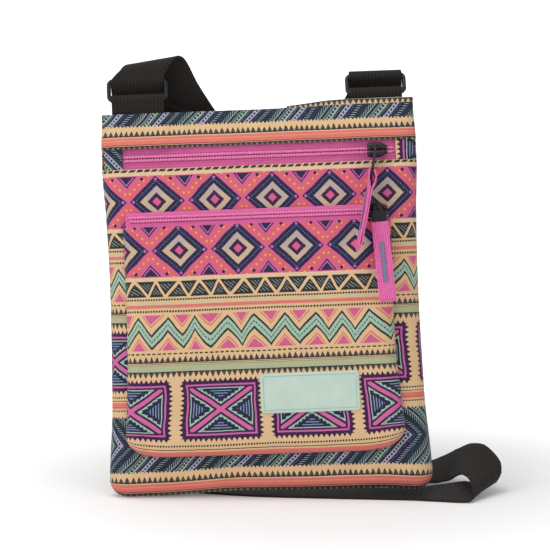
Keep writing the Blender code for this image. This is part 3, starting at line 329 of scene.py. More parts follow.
def left_strap_stations():
    """From the sewn end on the slide, over the left ring and round the loop, to under the bag."""
    step, bars, wrap = adjuster_levels()
    tail = [(-step, 0.0170), (-step, 0.0095), (-0.35 * step, 0.0052), (0.0009, 0.0032)]
    turns = [math.radians(20 + 50 * i) for i in range(5)]
    hook = [(bars + wrap * math.sin(turn), wrap * math.cos(turn)) for turn in turns]
    hook += [(bars - wrap, 0.0), (-1.55 * step, 0.0050), (-2 * step, 0.0095), (-2 * step, 0.0200)]
    stations = [leg_station(out, up) for out, up in tail + hook]
    left = upper_bar("left")
    stations.append((on_bag(left + Vector((0.0040, 0.0120, -0.0200))), (0.97, 0, 0.22)))
    stations += around_bar(left, -142, -180, 2, level_across())
    arch = (
        ((0.0018, -WRAP_RADIUS, 0.0040), (0.995, 0, 0.10)),
        ((0.0066, -0.0026, 0.0098), (0.985, 0, 0.17)),
        ((0.0104, 0.0013, 0.0138), (0.985, 0, 0.17)),
        ((0.0146, 0.0068, 0.0126), (0.97, 0, 0.24)),
        ((0.0194, 0.0114, 0.0044), (0.92, 0, 0.39)),
        ((0.0266, 0.0152, -0.0112), (0.86, 0, 0.50)),
    )
    stations += [(on_bag(left + Vector(offset)), across) for offset, across in arch]
    weave = [(0.0, 0.0170), (0.0, 0.0095), (0.0, 0.0078), (0.0016, 0.0062), (0.0048, 0.0041),
             (0.0065, 0.0023), (bars + wrap + step + GAP, 0.0)]
    weave += [(out, -up) for out, up in reversed(weave[:-1])]
    stations += [leg_station(out, up) for out, up in weave]
    return stations + [
        ((0.0140, 0.0690, 0.1530), (0.85, 0.00, 0.53)),
        ((0.0430, 0.0690, 0.0960), (0.83, 0.12, 0.54)),
        ((0.0640, 0.0710, 0.0520), (0.74, 0.36, 0.56)),
        ((0.0810, 0.0700, 0.0240), (0.55, 0.70, 0.45)),
        ((0.0990, 0.0610, 0.0090), (0.30, 0.93, 0.20)),
        ((0.1130, 0.0520, 0.0068), (0.18, 0.97, 0.17)),
        ((0.1248, 0.0450, 0.0098), (0.20, 0.92, 0.33)),
        ((0.1352, 0.0362, 0.0152), (0.17, 0.89, 0.42)),
        ((0.1434, 0.0258, 0.0216), (0.27, 0.86, 0.44)),
        ((0.1497, 0.0158, 0.0229), (0.43, 0.79, 0.44)),
        ((0.1547, 0.0075, 0.0198), (0.56, 0.77, 0.31)),
        ((0.1570, 0.0011, 0.0165), (0.62, 0.75, 0.24)),
        ((0.1573, -0.0053, 0.0115), (0.60, 0.78, 0.17)),
        ((0.1556, -0.0078, 0.0067), (0.50, 0.86, 0.10)),
        ((0.1498, -0.0090, 0.0042), (0.30, 0.95, 0.13)),
        ((0.1390, -0.0076, 0.0045), (0.18, 0.96, 0.20)),
        ((0.1230, -0.0033, 0.0027), (0.11, 0.99, 0.11)),
        ((0.1060, 0.0000, 0.0014), (0.08, 1.00, 0.01)),
        ((0.0860, 0.0030, 0.0007), (0.05, 1.00, 0.0)),
        ((0.0560, 0.0060, 0.0007), (0.08, 0.99, 0.0)),
        ((0.0280, 0.0090, 0.0007), (0.12, 0.99, 0.0)),
        ((0.0100, 0.0110, 0.0007), (0.15, 0.99, 0.0)),
    ]


def right_strap_stations():
    """From under the bag, up behind it and over the right ring, to the sewn end."""
    level = level_across()
    stations = [
        ((0.0100, 0.0110, 0.0007), (0.15, 0.99, 0.0)),
        ((-0.0080, 0.0140, 0.0007), (0.20, 0.98, 0.0)),
        ((-0.0260, 0.0190, 0.0007), (0.28, 0.96, 0.0)),
        ((-0.0430, 0.0250, 0.0007), (0.30, 0.95, 0.0)),
        ((-0.0600, 0.0320, 0.0035), (0.28, 0.95, 0.0)),
        ((-0.0735, 0.0390, 0.0140), (0.15, 0.98, 0.0)),
        ((-0.0775, 0.0450, 0.0310), (0.00, 1.00, 0.0)),
        ((-0.0690, 0.0500, 0.0560), (0.25, 0.95, -0.10)),
        ((-0.0500, 0.0520, 0.0880), (0.60, 0.78, -0.20)),
        ((-0.0260, 0.0520, 0.1240), (0.86, 0.36, -0.30)),
        ((0.0060, 0.0520, 0.1720), (0.90, 0.06, -0.38)),
        ((0.0380, 0.0545, 0.2200), (0.91, 0.00, -0.36)),
        ((0.0620, 0.0590, 0.2620), (0.95, 0.00, -0.28)),
    ]
    right = upper_bar("right")
    stations.append((on_bag(right + Vector((-0.0020, 0.0068, -0.0150))), (0.99, 0, -0.08)))
    stations += around_bar(right, -12, 258, 8, level)
    stations.append((on_bag(right + Vector((0.0, 0.0030, -0.0085))), level))
    stations.append((on_bag(right + Vector((-0.0052, 0.0064, -0.0290))), (0.98, 0, -0.16)))
    return stations


def curve_point(ends, t):
    """Point of the smooth curve between the middle two of four points."""
    a, b, c, d = ends
    before = max((b - a).length, 1e-6) ** 0.5
    span = max((c - b).length, 1e-6) ** 0.5
    after = max((d - c).length, 1e-6) ** 0.5
    leave = (c - b) if a == b else ((b - a) / before - (c - a) / (before + span) + (c - b) / span) * span
    arrive = (c - b) if c == d else ((c - b) / span - (d - b) / (span + after) + (d - c) / after) * span
    square, cube = t * t, t * t * t
    return (b * (2 * cube - 3 * square + 1) + leave * (cube - 2 * square + t)
            + c * (3 * square - 2 * cube) + arrive * (cube - square))


def smooth_stations(stations, step):
    """Stations about a step apart, on a smooth curve through the given ones."""
    points = [Vector(point) for point, _ in stations]
    acrosses = [Vector(across).normalized() for _, across in stations]
    result = []
    for i in range(len(points) - 1):
        ends = [points[max(i - 1, 0)], points[i], points[i + 1], points[min(i + 2, len(points) - 1)]]
        count = max(1, round((points[i + 1] - points[i]).length / step))
        for share in (part / count for part in range(count)):
            result.append((curve_point(ends, share), acrosses[i].lerp(acrosses[i + 1], share)))
    result.append((points[-1], acrosses[-1]))
    return result


def new_mesh():
    """An empty mesh with the map on which cloth and thread are laid, in millimetres."""
    bm = bmesh.new()
    bm.loops.layers.uv.new("cloth")
    return bm


def add_face(bm, corners, marks):
    """A face whose corners lie at the given marks on the map."""
    layer = bm.loops.layers.uv["cloth"]
    for loop, mark in zip(bm.faces.new(corners).loops, marks):
        loop[layer].uv = mark


def lay_faces(bm, grid, mark, closed=False):
    """Faces over rows of vertices, closed into a tube or not; mark gives each vertex's spot on the map."""
    for i in range(len(grid) - 1):
        for j in range(len(grid[i]) - (0 if closed else 1)):
            after = (j + 1) % len(grid[i])
            corners = ((i, j), (i, after), (i + 1, after), (i + 1, j))
            add_face(bm, [grid[a][b] for a, b in corners], [mark(a, b) for a, b in corners])


def webbing_ribbon(name, stations, width, thickness, material, cells=10):
    """Sweep a flat woven band through stations; its map runs across and along it."""
    points = [point for point, _ in stations]
    half, thick = width / 2, thickness / 2
    edge = thick * 0.55
    flat = [-half + edge * 2 + (width - 4 * edge) * i / cells for i in range(cells + 1)]
    outline = [(a, thick) for a in flat] + [(half, edge * 0.9), (half, -edge * 0.9)]
    outline += [(-a, -b) for a, b in outline]
    bm = new_mesh()
    rings, lengths, run = [], [], 0.0
    for i, (point, across) in enumerate(stations):
        along = (points[min(i + 1, len(points) - 1)] - points[max(i - 1, 0)]).normalized()
        across = across.normalized()
        out = along.cross(across).normalized()
        rings.append([bm.verts.new(point + across * a + out * b) for a, b in outline])
        run += (point - points[i - 1]).length if i else 0.0
        lengths.append(run)
    lay_faces(bm, rings, lambda a, b: (outline[b][0] * 1000, lengths[a] * 1000), closed=True)
    for end in (rings[0][::-1], rings[-1]):
        bm.faces.new(end)
    return finish_piece(name, bm, material), run


def srgb(red, green, blue):
    """A colour given as 0 to 255, as linear values."""
    def linear(channel):
        value = channel / 255
        return value / 12.92 if value <= 0.04045 else ((value + 0.055) / 1.055) ** 2.4
    return (linear(red), linear(green), linear(blue), 1.0)


def new_group(name, inputs, outputs):
    """A shader group; inputs are (name, socket type, default) and outputs (name, socket type)."""
    group = bpy.data.node_groups.new(name, "ShaderNodeTree")
    for label, kind, default in inputs:
        socket = group.interface.new_socket(name=label, in_out="INPUT", socket_type=f"NodeSocket{kind}")
        socket.default_value = default
    for label, kind in outputs:
        group.interface.new_socket(name=label, in_out="OUTPUT", socket_type=f"NodeSocket{kind}")
    return group, group.nodes.new("NodeGroupInput"), group.nodes.new("NodeGroupOutput")


def use_group(tree, group, **values):
    node = tree.nodes.new("ShaderNodeGroup")
    node.node_tree = group
    return feed(node, **values)


def noise_number(tree, vector, scale, detail):
    node = feed(tree.nodes.new("ShaderNodeTexNoise"), Vector=vector, Scale=scale, Detail=detail)
    return Number(tree, node.outputs["Fac"])


def split_vector(tree, vector):
    parts = feed(tree.nodes.new("ShaderNodeSeparateXYZ"), Vector=vector)
    return Number(tree, parts.outputs["X"]), Number(tree, parts.outputs["Y"])


def mix_colour(tree, below, above, mask):
    """Lay a colour over another where the mask is 1."""
    node = tree.nodes.new("ShaderNodeMix")
    node.data_type = "RGBA"
    for i, value in ((6, below), (7, above), (0, mask)):
        plug(value, node.inputs[i])
    return node.outputs[2]


def add_weave_group():
    """Plain weave: threads that pass over and under each other, at a pitch across and along."""
    group, source, sink = new_group(
        "weave",
        [("Cloth", "Vector", (0, 0, 0)), ("Pitch Across", "Float", 0.5), ("Pitch Along", "Float", 0.5)],
        [("Height", "Float"), ("Thread", "Float")])
    x, y = split_vector(group, source.outputs["Cloth"])
    across = x / Number(group, source.outputs["Pitch Across"])
    along = y / Number(group, source.outputs["Pitch Along"])
    warp = (across * math.pi).apply("SINE").size()
    weft = (along * math.pi).apply("SINE").size()
    odd = across.apply("FLOOR") + along.apply("FLOOR")
    over = (odd * 0.5).apply("FRACT") > 0.25
    height = (warp & over) + (weft & over.inverse())
    uneven = noise_number(group, source.outputs["Cloth"], 0.9, 3.0)
    # Thread follows the weave's height with an uneven tone; the materials lighten their colour by it, a
    # painted highlight on the threads' crowns.
    feed(sink, Height=height * 0.8 + uneven * 0.3, Thread=height * (uneven * 0.6 + 0.7))
    return group


def cloth_map(tree):
    node = tree.nodes.new("ShaderNodeUVMap")
    node.uv_map = "cloth"
    return node.outputs["UV"]


def add_bump(tree, shader, height, strength, reach):
    bump = feed(tree.nodes.new("ShaderNodeBump"), Height=height, Strength=strength, Distance=reach)
    feed(shader, Normal=bump.outputs["Normal"])


weave_group = add_weave_group()


def add_webbing_material():
    """Black ribbed webbing: a painted highlight on the crowns of its threads, and a little dust."""
    made, tree, shader = new_material("black webbing")
    cloth = cloth_map(tree)
    woven = use_group(tree, weave_group, Cloth=cloth, Pitch_Across=2.4, Pitch_Along=1.5)
    thread = Number(tree, woven.outputs["Thread"])
    dusty = noise_number(tree, cloth, 0.05, 4.0).ramp(0.35, 0.75)
    # The lighter colour on the threads' crowns is a painted highlight; the dust mixed in after it is the
    # webbing's own.
    colour = mix_colour(tree, srgb(8, 7, 6), srgb(41, 36, 33), thread)
    colour = mix_colour(tree, colour, srgb(58, 52, 47), dusty * 0.08)
    feed(shader, Base_Color=colour, Roughness=thread * -0.15 + 0.85, Sheen_Weight=0.02,
         Specular_IOR_Level=0.18)
    add_bump(tree, shader, woven.outputs["Height"], 0.9, 0.0004)
    return made


webbing = add_webbing_material()
for label, route in (("left", left_strap_stations()), ("right", right_strap_stations())):
    stations = smooth_stations(route, STRAP_STEP)
    for point, _ in stations:
        point.z = max(point.z, STRAP_THICKNESS / 2)
    piece, run = webbing_ribbon(f"strap_{label}_run", stations, STRAP_WIDTH, STRAP_THICKNESS, webbing)
    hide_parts("shoulder_strap")
    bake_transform(piece)


# Printed cloth
# Cotton canvas printed in bands: one repeat, 235 mm deep, that every cloth piece is cut from. The print
# is drawn in millimetres across the cloth and down it from the top of the diamonds' band, with a slight
# hand-drawn wander. Each painter below lays one band, and all its numbers are millimetres or shares.
PRINT_REPEAT = 235.0
PRINT_START = -5.8
PEACH = srgb(234, 196, 150)
CREAM = srgb(232, 204, 166)
SALMON = srgb(230, 126, 116)
CORAL = srgb(227, 108, 114)
PINK = srgb(220, 101, 148)
LILAC = srgb(198, 118, 184)
PURPLE = srgb(62, 30, 70)
NAVY = srgb(38, 38, 70)
SLATE = srgb(108, 126, 174)
INK = srgb(54, 51, 52)
MINT = srgb(170, 202, 180)
SAGE = srgb(184, 190, 152)
YELLOW = srgb(248, 180, 122)
HIGHLIGHT = srgb(120, 114, 108)


def join_vector(x, y):
    """Two numbers as the first two coordinates of a vector."""
    return feed(x.tree.nodes.new("ShaderNodeCombineXYZ"), X=x, Y=y).outputs["Vector"]


def drift(number, pace, detail):
    """Noise, about 0.5, that changes in one direction only."""
    return noise_number(number.tree, join_vector(number * pace, 0.0), 1.0, detail)


class Painter:
    """Lays colours on the cloth, one over another."""

    def __init__(self, tree, ground):
        self.tree = tree
        self.colour = ground

    def lay(self, mask, colour):
        self.colour = mix_colour(self.tree, self.colour, colour, mask)


def paint_dots(paint, across, down, middle, pitch, radius, colour):
    spot = (across.cell(pitch) * across.cell(pitch)) + ((down - middle) * (down - middle))
    paint.lay(spot < radius * radius, colour)


def paint_dashes(paint, across, down, middle, pitch, length, height, colour, slant=0.0):
    leaned = across + down * slant
    paint.lay((leaned.cell(pitch).size() < length / 2) & ((down - middle).size() < height / 2), colour)


def paint_teeth(paint, across, down, base, height, pitch, colour, vary):
    """A row of small triangles that stand on a line; a negative height hangs them from it."""
    rise = (down - base) * (-1.0 / height)
    shape = across.tooth(pitch) * vary + 0.16
    paint.lay((rise > 0.0) & (rise < shape), colour)
    paint.lay(((rise - shape * 0.50).size() < 0.045) & (rise > 0.15), HIGHLIGHT)


def paint_diamonds(paint, across, down):
    """Pink ground, large bordered diamonds, coral bands with yellow dots and nested triangles between."""
    middle, pitch = 18.8, 41.4
    zone = down.inside(0.0, 37.6)
    paint.lay(zone, PINK)
    side, rise = across.cell(pitch).size(), (down - middle).size()
    shape = side / 19.3 + rise / 18.3
    step = (across.cell(pitch) - (down - middle)).apply("WRAP", 1.6, -1.6).size() * 0.012
    paint.lay(zone & shape.inside(1.13, 1.46), CORAL)
    line = (shape - 1.295).size() * 13.3
    beads = (side - rise).cell(6.6).size() * 0.7
    paint.lay(zone & ((line * line + beads * beads) < 0.55), YELLOW)
    paint.lay(shape < (step + 1.01), PURPLE)
    paint.lay(shape.inside(0.68, 0.94), NAVY)
    stitch = (shape - 0.820).size() * 13.3
    marks = (side - rise).cell(2.7).size() * 0.7
    paint.lay((stitch < 0.28) & (marks < 0.50), SLATE)
    cloudy = noise_number(paint.tree, join_vector(across * 0.09, down * 0.09), 1.0, 2.0)
    warmer = (cloudy + (down - middle) * 0.02).ramp(0.36, 0.64)
    ring = mix_colour(paint.tree, srgb(190, 178, 170), srgb(212, 186, 152), warmer)
    paint.lay(shape < (step + 0.610), ring)
    paint.lay(shape < (step + 0.355), PURPLE)
    heart = mix_colour(paint.tree, PINK, srgb(238, 176, 148), cloudy.ramp(0.60, 0.66))
    paint.lay(shape < 0.180, heart)
    corner = (side - 17.0).size() + rise
    paint.lay(corner < 1.25, LILAC)
    tip = (rise - 16.0).size() + side
    paint.lay(tip < 1.2, LILAC)
    edge = rise * -1.0 + 18.8
    between = side * -1.0 + pitch / 2
    nest = (edge - 0.7) / -8.4 + 1.0 - between / 6.6
    above = edge > 0.7
    paint.lay(zone & above & (nest > 0.0), PURPLE)
    paint.lay(zone & (edge > 1.2) & nest.inside(0.17, 0.31), LILAC)
    paint.lay(zone & (edge > 1.2) & (nest > 0.47), NAVY)
    spot_side, spot_edge = side - 10.2, edge - 2.4
    paint.lay(zone & ((spot_side * spot_side + spot_edge * spot_edge) < 1.5), PURPLE)


def paint_hatched_triangles(paint, across, down):
    """A row of dark triangles, upright and hung by turns, with pale hatching in their hearts."""
    top, height, pitch = 40.4, 9.9, 15.5
    across = across + (drift(across, 0.05, 0.0) - 0.5) * 7
    zone = down.inside(top, top + height)
    border = across.tooth(pitch) * height - (down - top)
    paint.lay(zone & (border.size() > 1.50), srgb(42, 44, 48))
    hatch = (across * 0.8 - down).cell(2.1).size() < 0.27
    heart = (border.size() > 3.1) & down.inside(top + 1.6, top + height - 1.6)
    paint.lay(zone & heart & hatch, srgb(150, 160, 158))


def paint_zigzag(paint, across, down):
    """A mint ribbon that climbs and falls, with pink triangles in its bays."""
    pitch, middle, swing, half = 20.7, 75.2, 12.4, 3.5
    zone = down.inside(61.6, 88.4)
    uneven = drift(across, 0.035, 1.0) * 0.7 + 0.65
    across = across + (uneven - 1.0) * 22 + pitch / 2
    line = (across.tooth(pitch) - 0.5) * -swing * uneven + middle
    off = down - line
    bay = across.cell(pitch, pitch / 2).size()
    for turned in (False, True):
        side = across.cell(pitch).size() if turned else bay
        depth = (down * -1.0 + 87.6) if turned else (down - 62.6)
        nest = depth / -9.0 + 1.0 - side / 7.4
        open_zone = zone & (depth > 0.0)
        paint.lay(open_zone & (nest > 0.0), SALMON)
        paint.lay(open_zone & nest.inside(0.16, 0.28), PEACH)
        paint.lay(open_zone & (nest > 0.28), PINK)
    paint.lay(zone & (off.size() < half + 2.0), INK)
    paint.lay(zone & (off.size() < half), MINT)
    dashed = (off.size() < 0.55) & (across.cell(1.5).size() < 0.5)
    paint.lay(zone & dashed, INK)


def paint_crossed_boxes(paint, across, down):
    """Toothed frames with a pink line and a pink cross, and nested dark triangles in their quarters."""
    pitch, shift, middle = 62.1, 4.8, 131.0
    wide, high = 25.6, 19.8
    zone = down.inside(108.0, 154.0)
    x, y = across.cell(pitch, shift), down - middle
    ax, ay = x.size(), y.size()
    teeth_across = ((ay - high) < (x.tooth(3.5) * 3.1 - 0.1)) & (ax < wide + 0.7)
    teeth_up = ((ax - wide) < (y.tooth(3.5) * 3.1 - 0.1)) & (ay < high + 0.7)
    paint.lay(zone & (teeth_across | teeth_up), PURPLE)
    reach = (ax - wide).larger(ay - high)
    paint.lay(zone & reach.inside(-2.8, -1.5), srgb(208, 104, 172))
    inner_wide, inner_high = wide - 4.1, high - 4.1
    field = zone & (reach < -4.1)
    paint.lay(field, MINT)
    slope = math.hypot(inner_wide, inner_high)
    cross = (ax * (inner_high / slope) - ay * (inner_wide / slope)).size()
    lying = (ay * (inner_wide / inner_high)) > ax
    bars_lying, bars_standing = y.cell(1.9).size() < 0.36, x.cell(1.9).size() < 0.36
    run = (x & lying) + (y & lying.inverse())
    serrated = cross - run.tooth(2.5) * 1.2
    paint.lay(field & (serrated > 3.5) & (reach < -4.8), NAVY)
    bars = (bars_lying & lying) + (bars_standing & lying.inverse())
    paint.lay(field & bars & (cross > 6.6) & (reach < -6.2), srgb(136, 154, 188))
    paint.lay(field & (cross < 2.9), PURPLE)
    paint.lay(field & (cross < 1.4), srgb(216, 108, 166))


def paint_feathers(paint, across, down):
    """Slanting feathers, dotted lines and stripes in mint, navy and lilac, in two opposite slants."""
    middle = 189.6
    jag = across.tooth(2.7) * 1.6
    zone = ((down - 170.2) > jag * -1.0 + 1.2) & ((down - 209.0) < jag - 1.2)
    paint.lay(zone, srgb(152, 182, 162))
    along = (down - middle).size()
    slant = (across + along) * math.sqrt(0.5)
    run = (across - along) * math.sqrt(0.5)
    pitch = 24.0
    tints = drift(slant, 0.05, 0.0).ramp(0.42, 0.58)
    paint.lay(zone & slant.cell(pitch, 15.2).inside(-1.9, 1.9), srgb(170, 172, 190))
    paint.lay(zone & tints * 0.30, srgb(186, 188, 198))
    barbs = (run + (slant.cell(pitch).size() * 0.9)).cell(1.9).size() < 0.70
    spine = slant.cell(pitch).size()
    paint.lay(zone & (spine < 4.6) & (barbs | (spine < 1.8)), srgb(34, 46, 66))
    for shift, half, colour in ((6.0, 0.90, NAVY), (7.7, 0.40, INK), (11.6, 0.42, INK), (13.0, 0.85, NAVY),
                                (17.4, 0.60, NAVY), (19.0, 0.95, NAVY)):
        paint.lay(zone & (slant.cell(pitch, shift).size() < half), colour)
    for shift, size in ((9.3, 0.90), (15.3, 0.75)):
        off = slant.cell(pitch, shift)
        bead = run.cell(2.5)
        paint.lay(zone & ((off * off + bead * bead) < size * size), NAVY)


def add_print_group():
    """The whole print by its place on the cloth: its colour, and how dark it is."""
    group, source, sink = new_group("printed bands", [("Cloth", "Vector", (0, 0, 0))],
                                    [("Color", "Color"), ("Ink", "Float")])
    raw_across, raw_down = split_vector(group, source.outputs["Cloth"])
    wander = noise_number(group, source.outputs["Cloth"], 0.045, 1.0) - 0.5
    shiver = noise_number(group, source.outputs["Cloth"], 0.45, 1.0) - 0.5
    across = raw_across + wander * 3.6 + shiver * 0.45
    turned = join_vector(raw_down, raw_across)
    tremble = noise_number(group, turned, 0.40, 1.0) - 0.5
    sway = noise_number(group, turned, 0.020, 1.0) - 0.5
    wrapped = raw_down.apply("WRAP", PRINT_REPEAT + PRINT_START, PRINT_START)
    stretch = wrapped.ramp(39.0, 51.6) * 1.3 + wrapped.ramp(61.0, 66.0) * 0.9
    stretch = stretch + wrapped.ramp(174.0, 208.0) * 1.8
    down = wrapped - stretch + tremble * 0.45 + sway * 1.2
    vary = drift(raw_across, 0.28, 1.0) * 0.9 + 0.55
    paint = Painter(group, PEACH)
    paint_dashes(paint, across, down, -3.6, 5.4, 3.9, 1.9, INK, slant=0.9)
    paint.lay(down.inside(-2.3, 0.0), CREAM)
    paint_diamonds(paint, across, down)
    paint.lay(down.inside(37.6, 39.6), CREAM)
    paint_hatched_triangles(paint, across, down)
    paint_dots(paint, across, down, 52.3, 1.9, 0.74, INK)
    paint.lay(down.inside(53.6, 59.2), srgb(222, 200, 156))
    paint.lay(down.inside(56.0, 58.4), SALMON)
    paint_dots(paint, across, down, 60.6, 1.9, 0.70, INK)
    paint_zigzag(paint, across, down)
    paint_dashes(paint, across, down, 90.1, 3.7, 2.3, 1.05, INK)
    paint_teeth(paint, across, down, 96.6, 3.9, 3.9, INK, vary)
    paint.lay(down.inside(97.1, 97.5), PURPLE)
    paint.lay(down.inside(98.0, 102.8), SAGE)
    paint.lay(down.inside(98.0, 98.8), srgb(160, 170, 130))
    paint_teeth(paint, across, down, 102.8, -3.9, 3.9, INK, vary)
    paint_crossed_boxes(paint, across, down)
    paint_dots(paint, across, down, 156.2, 1.9, 0.66, INK)
    paint.lay(down.inside(158.4, 158.9), INK)
    paint.lay(down.inside(160.0, 164.2), SALMON)
    paint.lay(down.inside(162.9, 163.2), srgb(200, 84, 84))
    paint_dots(paint, across, down, 165.8, 1.9, 0.66, INK)
    paint_feathers(paint, across, down)
    paint_teeth(paint, across, down, 216.0, 3.8, 3.9, INK, vary)
    paint.lay(down.inside(216.7, 222.2), SALMON)
    paint.lay(down.inside(218.4, 219.2), srgb(240, 152, 116))
    paint.lay(down.inside(221.6, 222.3), srgb(170, 70, 74))
    paint_teeth(paint, across, down, 222.6, -4.6, 3.9, INK, vary)
    grey = feed(group.nodes.new("ShaderNodeRGBToBW"), Color=paint.colour)
    ink = Number(group, grey.outputs[0]).apply("MULTIPLY_ADD", -1.0, 1.0, clamp=True)
    feed(sink, Color=paint.colour, Ink=ink)
    return group


print_group = add_print_group()


def scale_vector(tree, vector, factor):
    """A colour or a place times a number."""
    node = tree.nodes.new("ShaderNodeVectorMath")
    node.operation = "SCALE"
    plug(vector, node.inputs[0])
    return feed(node, Scale=factor).outputs[0]


def add_canvas_material():
    """Printed canvas: the print, a fine plain weave with painted highlight and shade, soft mottling and
    paler rubbed spots.
    """
    made, tree, shader = new_material("printed canvas")
    cloth = cloth_map(tree)
    printed = use_group(tree, print_group, Cloth=cloth)
    woven = use_group(tree, weave_group, Cloth=cloth, Pitch_Across=0.42, Pitch_Along=0.46)
    mottle = noise_number(tree, cloth, 0.06, 4.0)
    rubbed = noise_number(tree, cloth, 0.7, 5.0).ramp(0.56, 0.80)
    thread = Number(tree, woven.outputs["Thread"])
    colour = mix_colour(tree, printed.outputs["Color"], srgb(236, 224, 205), rubbed * 0.16)
    # Painted highlight on the threads' crowns and painted shade between them, times an uneven mottled tone.
    shade = scale_vector(tree, colour, (thread * 0.16 + 0.845) * (mottle * 0.14 + 0.93))
    feed(shader, Base_Color=shade, Roughness=Number(tree, printed.outputs["Ink"]) * -0.08 + 0.90,
         Specular_IOR_Level=0.25, Sheen_Weight=0.06)
    add_bump(tree, shader, woven.outputs["Height"], 0.35, 0.00012)
    return made


printed_cloth = add_canvas_material()


# Bag body
# Front and back of one cloth, seamed at the sides and the bottom, open at the top for the zip. The cloth
# sags a little between its seams, and creases run from the rings and the corners.
CLOTH = 0.0012
BAG_WIDTH = 0.2242
TOP_WIDTH = 0.2230
BAG_DEPTH = 0.0256
SIDE_ROUND = 0.0140
BOTTOM_ROUND = 0.0140
BOTTOM_CORNER = 0.0120
TOP_RUN = 0.1000
ANCHOR_WIDTH = 0.0375
ANCHOR_RAMP = 0.0070
BOTTOM_ARCH = 0.0026
TOP_RISE = 0.0046
FRONT_RISE = 0.0012
HALF_WIDTH = BAG_WIDTH / 2
MAIN_ZIP_HEIGHT = 0.24145
MAIN_ZIP_SHOWN = 0.0149
PINK_BAND_TOP = 0.2291
BODY_DIAMOND = 0.0085
BACK_SHIFT = 0.017
TOP_SHIFT = 0.011
TOP_PRINT = 203.1
LIP_FROM = 0.021
LIP_SHIFT = 0.006
LIP_PRINT = 109.6


def quarter(distance, radius):
    """0 at an edge and 1 a radius inside it, rising along a quarter circle."""
    left = 1 - min(1.0, max(0.0, distance / radius))
    return math.sqrt(max(0.0, 1 - left * left))


def taper(z):
    """The bag's width at a height, as a share of its width at the bottom."""
    return 1 + (TOP_WIDTH / BAG_WIDTH - 1) * z / BAG_HEIGHT


def panel_depth(x, z):
    """Distance from the seam plane to a panel's inner face."""
    inner = (RING_OFFSET - ANCHOR_WIDTH / 2) / taper(BAG_HEIGHT) - GAP
    top = (STRAP_THICKNESS + 2 * GAP) * bump_between(abs(x), inner - ANCHOR_RAMP, inner)
    run = min(1.0, (BAG_HEIGHT - z) / TOP_RUN)
    middle = top + (BAG_DEPTH / 2 - top) * math.sin(run * math.pi / 2)
    return middle * quarter(HALF_WIDTH - abs(x), SIDE_ROUND) * quarter(z, BOTTOM_ROUND)


def rounded_corner(x, z, half, radius):
    across, down = abs(x) - (half - radius), radius - z
    if across <= 0 or down <= 0:
        return x, z
    a, b = across / radius, down / radius
    return (math.copysign(half - radius + radius * a * math.sqrt(max(0.0, 1 - b * b / 2)), x),
            radius - radius * b * math.sqrt(max(0.0, 1 - a * a / 2)))


def body_point(x, z, side):
    """A point of the front (side -1) or back (side 1) panel's inner face, in the bag's own frame."""
    depth = panel_depth(x, z)
    flat_x, flat_z = rounded_corner(x, z, HALF_WIDTH, BOTTOM_CORNER)
    arch = BOTTOM_ARCH * bump_between(flat_x, -0.075, -0.015) * (1 - bump_between(flat_x, 0.07, 0.11))
    flat_z += arch * (1 - bump_between(flat_z, 0, 4 * BOTTOM_ROUND))
    rise = (FRONT_RISE if side < 0 else TOP_RISE) * bump_between(flat_x, 0.010, 0.060)
    flat_z += rise * bump_between(z, BAG_HEIGHT - 0.008, BAG_HEIGHT)
    point = Vector((flat_x * taper(z), side * (GAP / 2 + depth), flat_z))
    height = on_bag(point).z
    if height < CLOTH:
        point.z += (CLOTH - height) / (math.cos(LEAN) * math.cos(TURN))
    return point


def ripple(x, z, seed):
    """Small random waves of the cloth, from -1 to 1."""
    wide = noise.noise(Vector((x * 22, z * 26, seed)))
    fine = noise.noise(Vector((x * 75, z * 60, seed + 7)))
    return wide + 0.35 * fine


def crease(x, z, start, end, width):
    """0 to 1, highest along a line between two points and fading to its ends."""
    line = Vector((end[0] - start[0], end[1] - start[1]))
    spot = Vector((x - start[0], z - start[1]))
    part = spot.dot(line) / line.length_squared
    off = abs(spot.x * line.y - spot.y * line.x) / line.length
    fade = bump_between(part, 0.0, 0.25) * (1 - bump_between(part, 0.6, 1.0))
    return fade * math.exp(-(off / width) ** 2)


FRONT_CREASES = (
    ((0.104, 0.050), (0.070, 0.010), 0.0050, -0.0011),
    ((-0.106, 0.036), (-0.085, 0.012), 0.0045, -0.0009),
    ((0.108, 0.225), (0.099, 0.165), 0.0045, 0.0009),
    ((-0.108, 0.215), (-0.101, 0.140), 0.0040, 0.0007),
    ((0.020, 0.020), (0.085, 0.006), 0.0040, -0.0009),
)
BACK_CREASES = (
    ((-0.075, 0.262), (-0.030, 0.150), 0.0080, -0.0024),
    ((0.078, 0.262), (0.030, 0.140), 0.0085, -0.0026),
    ((-0.090, 0.250), (-0.082, 0.120), 0.0060, 0.0016),
    ((0.060, 0.110), (-0.040, 0.060), 0.0090, 0.0018),
    ((-0.095, 0.045), (-0.045, 0.015), 0.0060, -0.0013),
    ((0.095, 0.050), (0.050, 0.014), 0.0060, -0.0013),
)


def body_cloth_point(x, z, side):
    """The panel's inner face with its waves and creases, held flat at the seams."""
    point = body_point(x, z, side)
    free = quarter(HALF_WIDTH - abs(x), 0.030) * bump_between(z, 0.004, 0.030)
    free *= 1 - bump_between(z, BAG_HEIGHT - 0.020, BAG_HEIGHT)
    swell = 0.0007 * ripple(x, z, 3.0 if side < 0 else 11.0) * free
    for start, end, width, height in (FRONT_CREASES if side < 0 else BACK_CREASES):
        swell += height * crease(x, z, start, end, width) * quarter(HALF_WIDTH - abs(x), 0.012)
    if side > 0:
        line = abs(x) - 0.020 - 0.25 * z
        swell += 0.0012 * free * math.cos(line / 0.0085) * math.exp(-(line / 0.03) ** 2)
    pucker = 0.00022 * math.sin(z / 0.0011 + 5 * noise.noise(Vector((x * 9, z * 30, 1.0))))
    swell += pucker * (1 - bump_between(HALF_WIDTH - abs(x), 0.003, 0.014)) * bump_between(z, 0.01, 0.03)
    point.y += side * swell
    return point


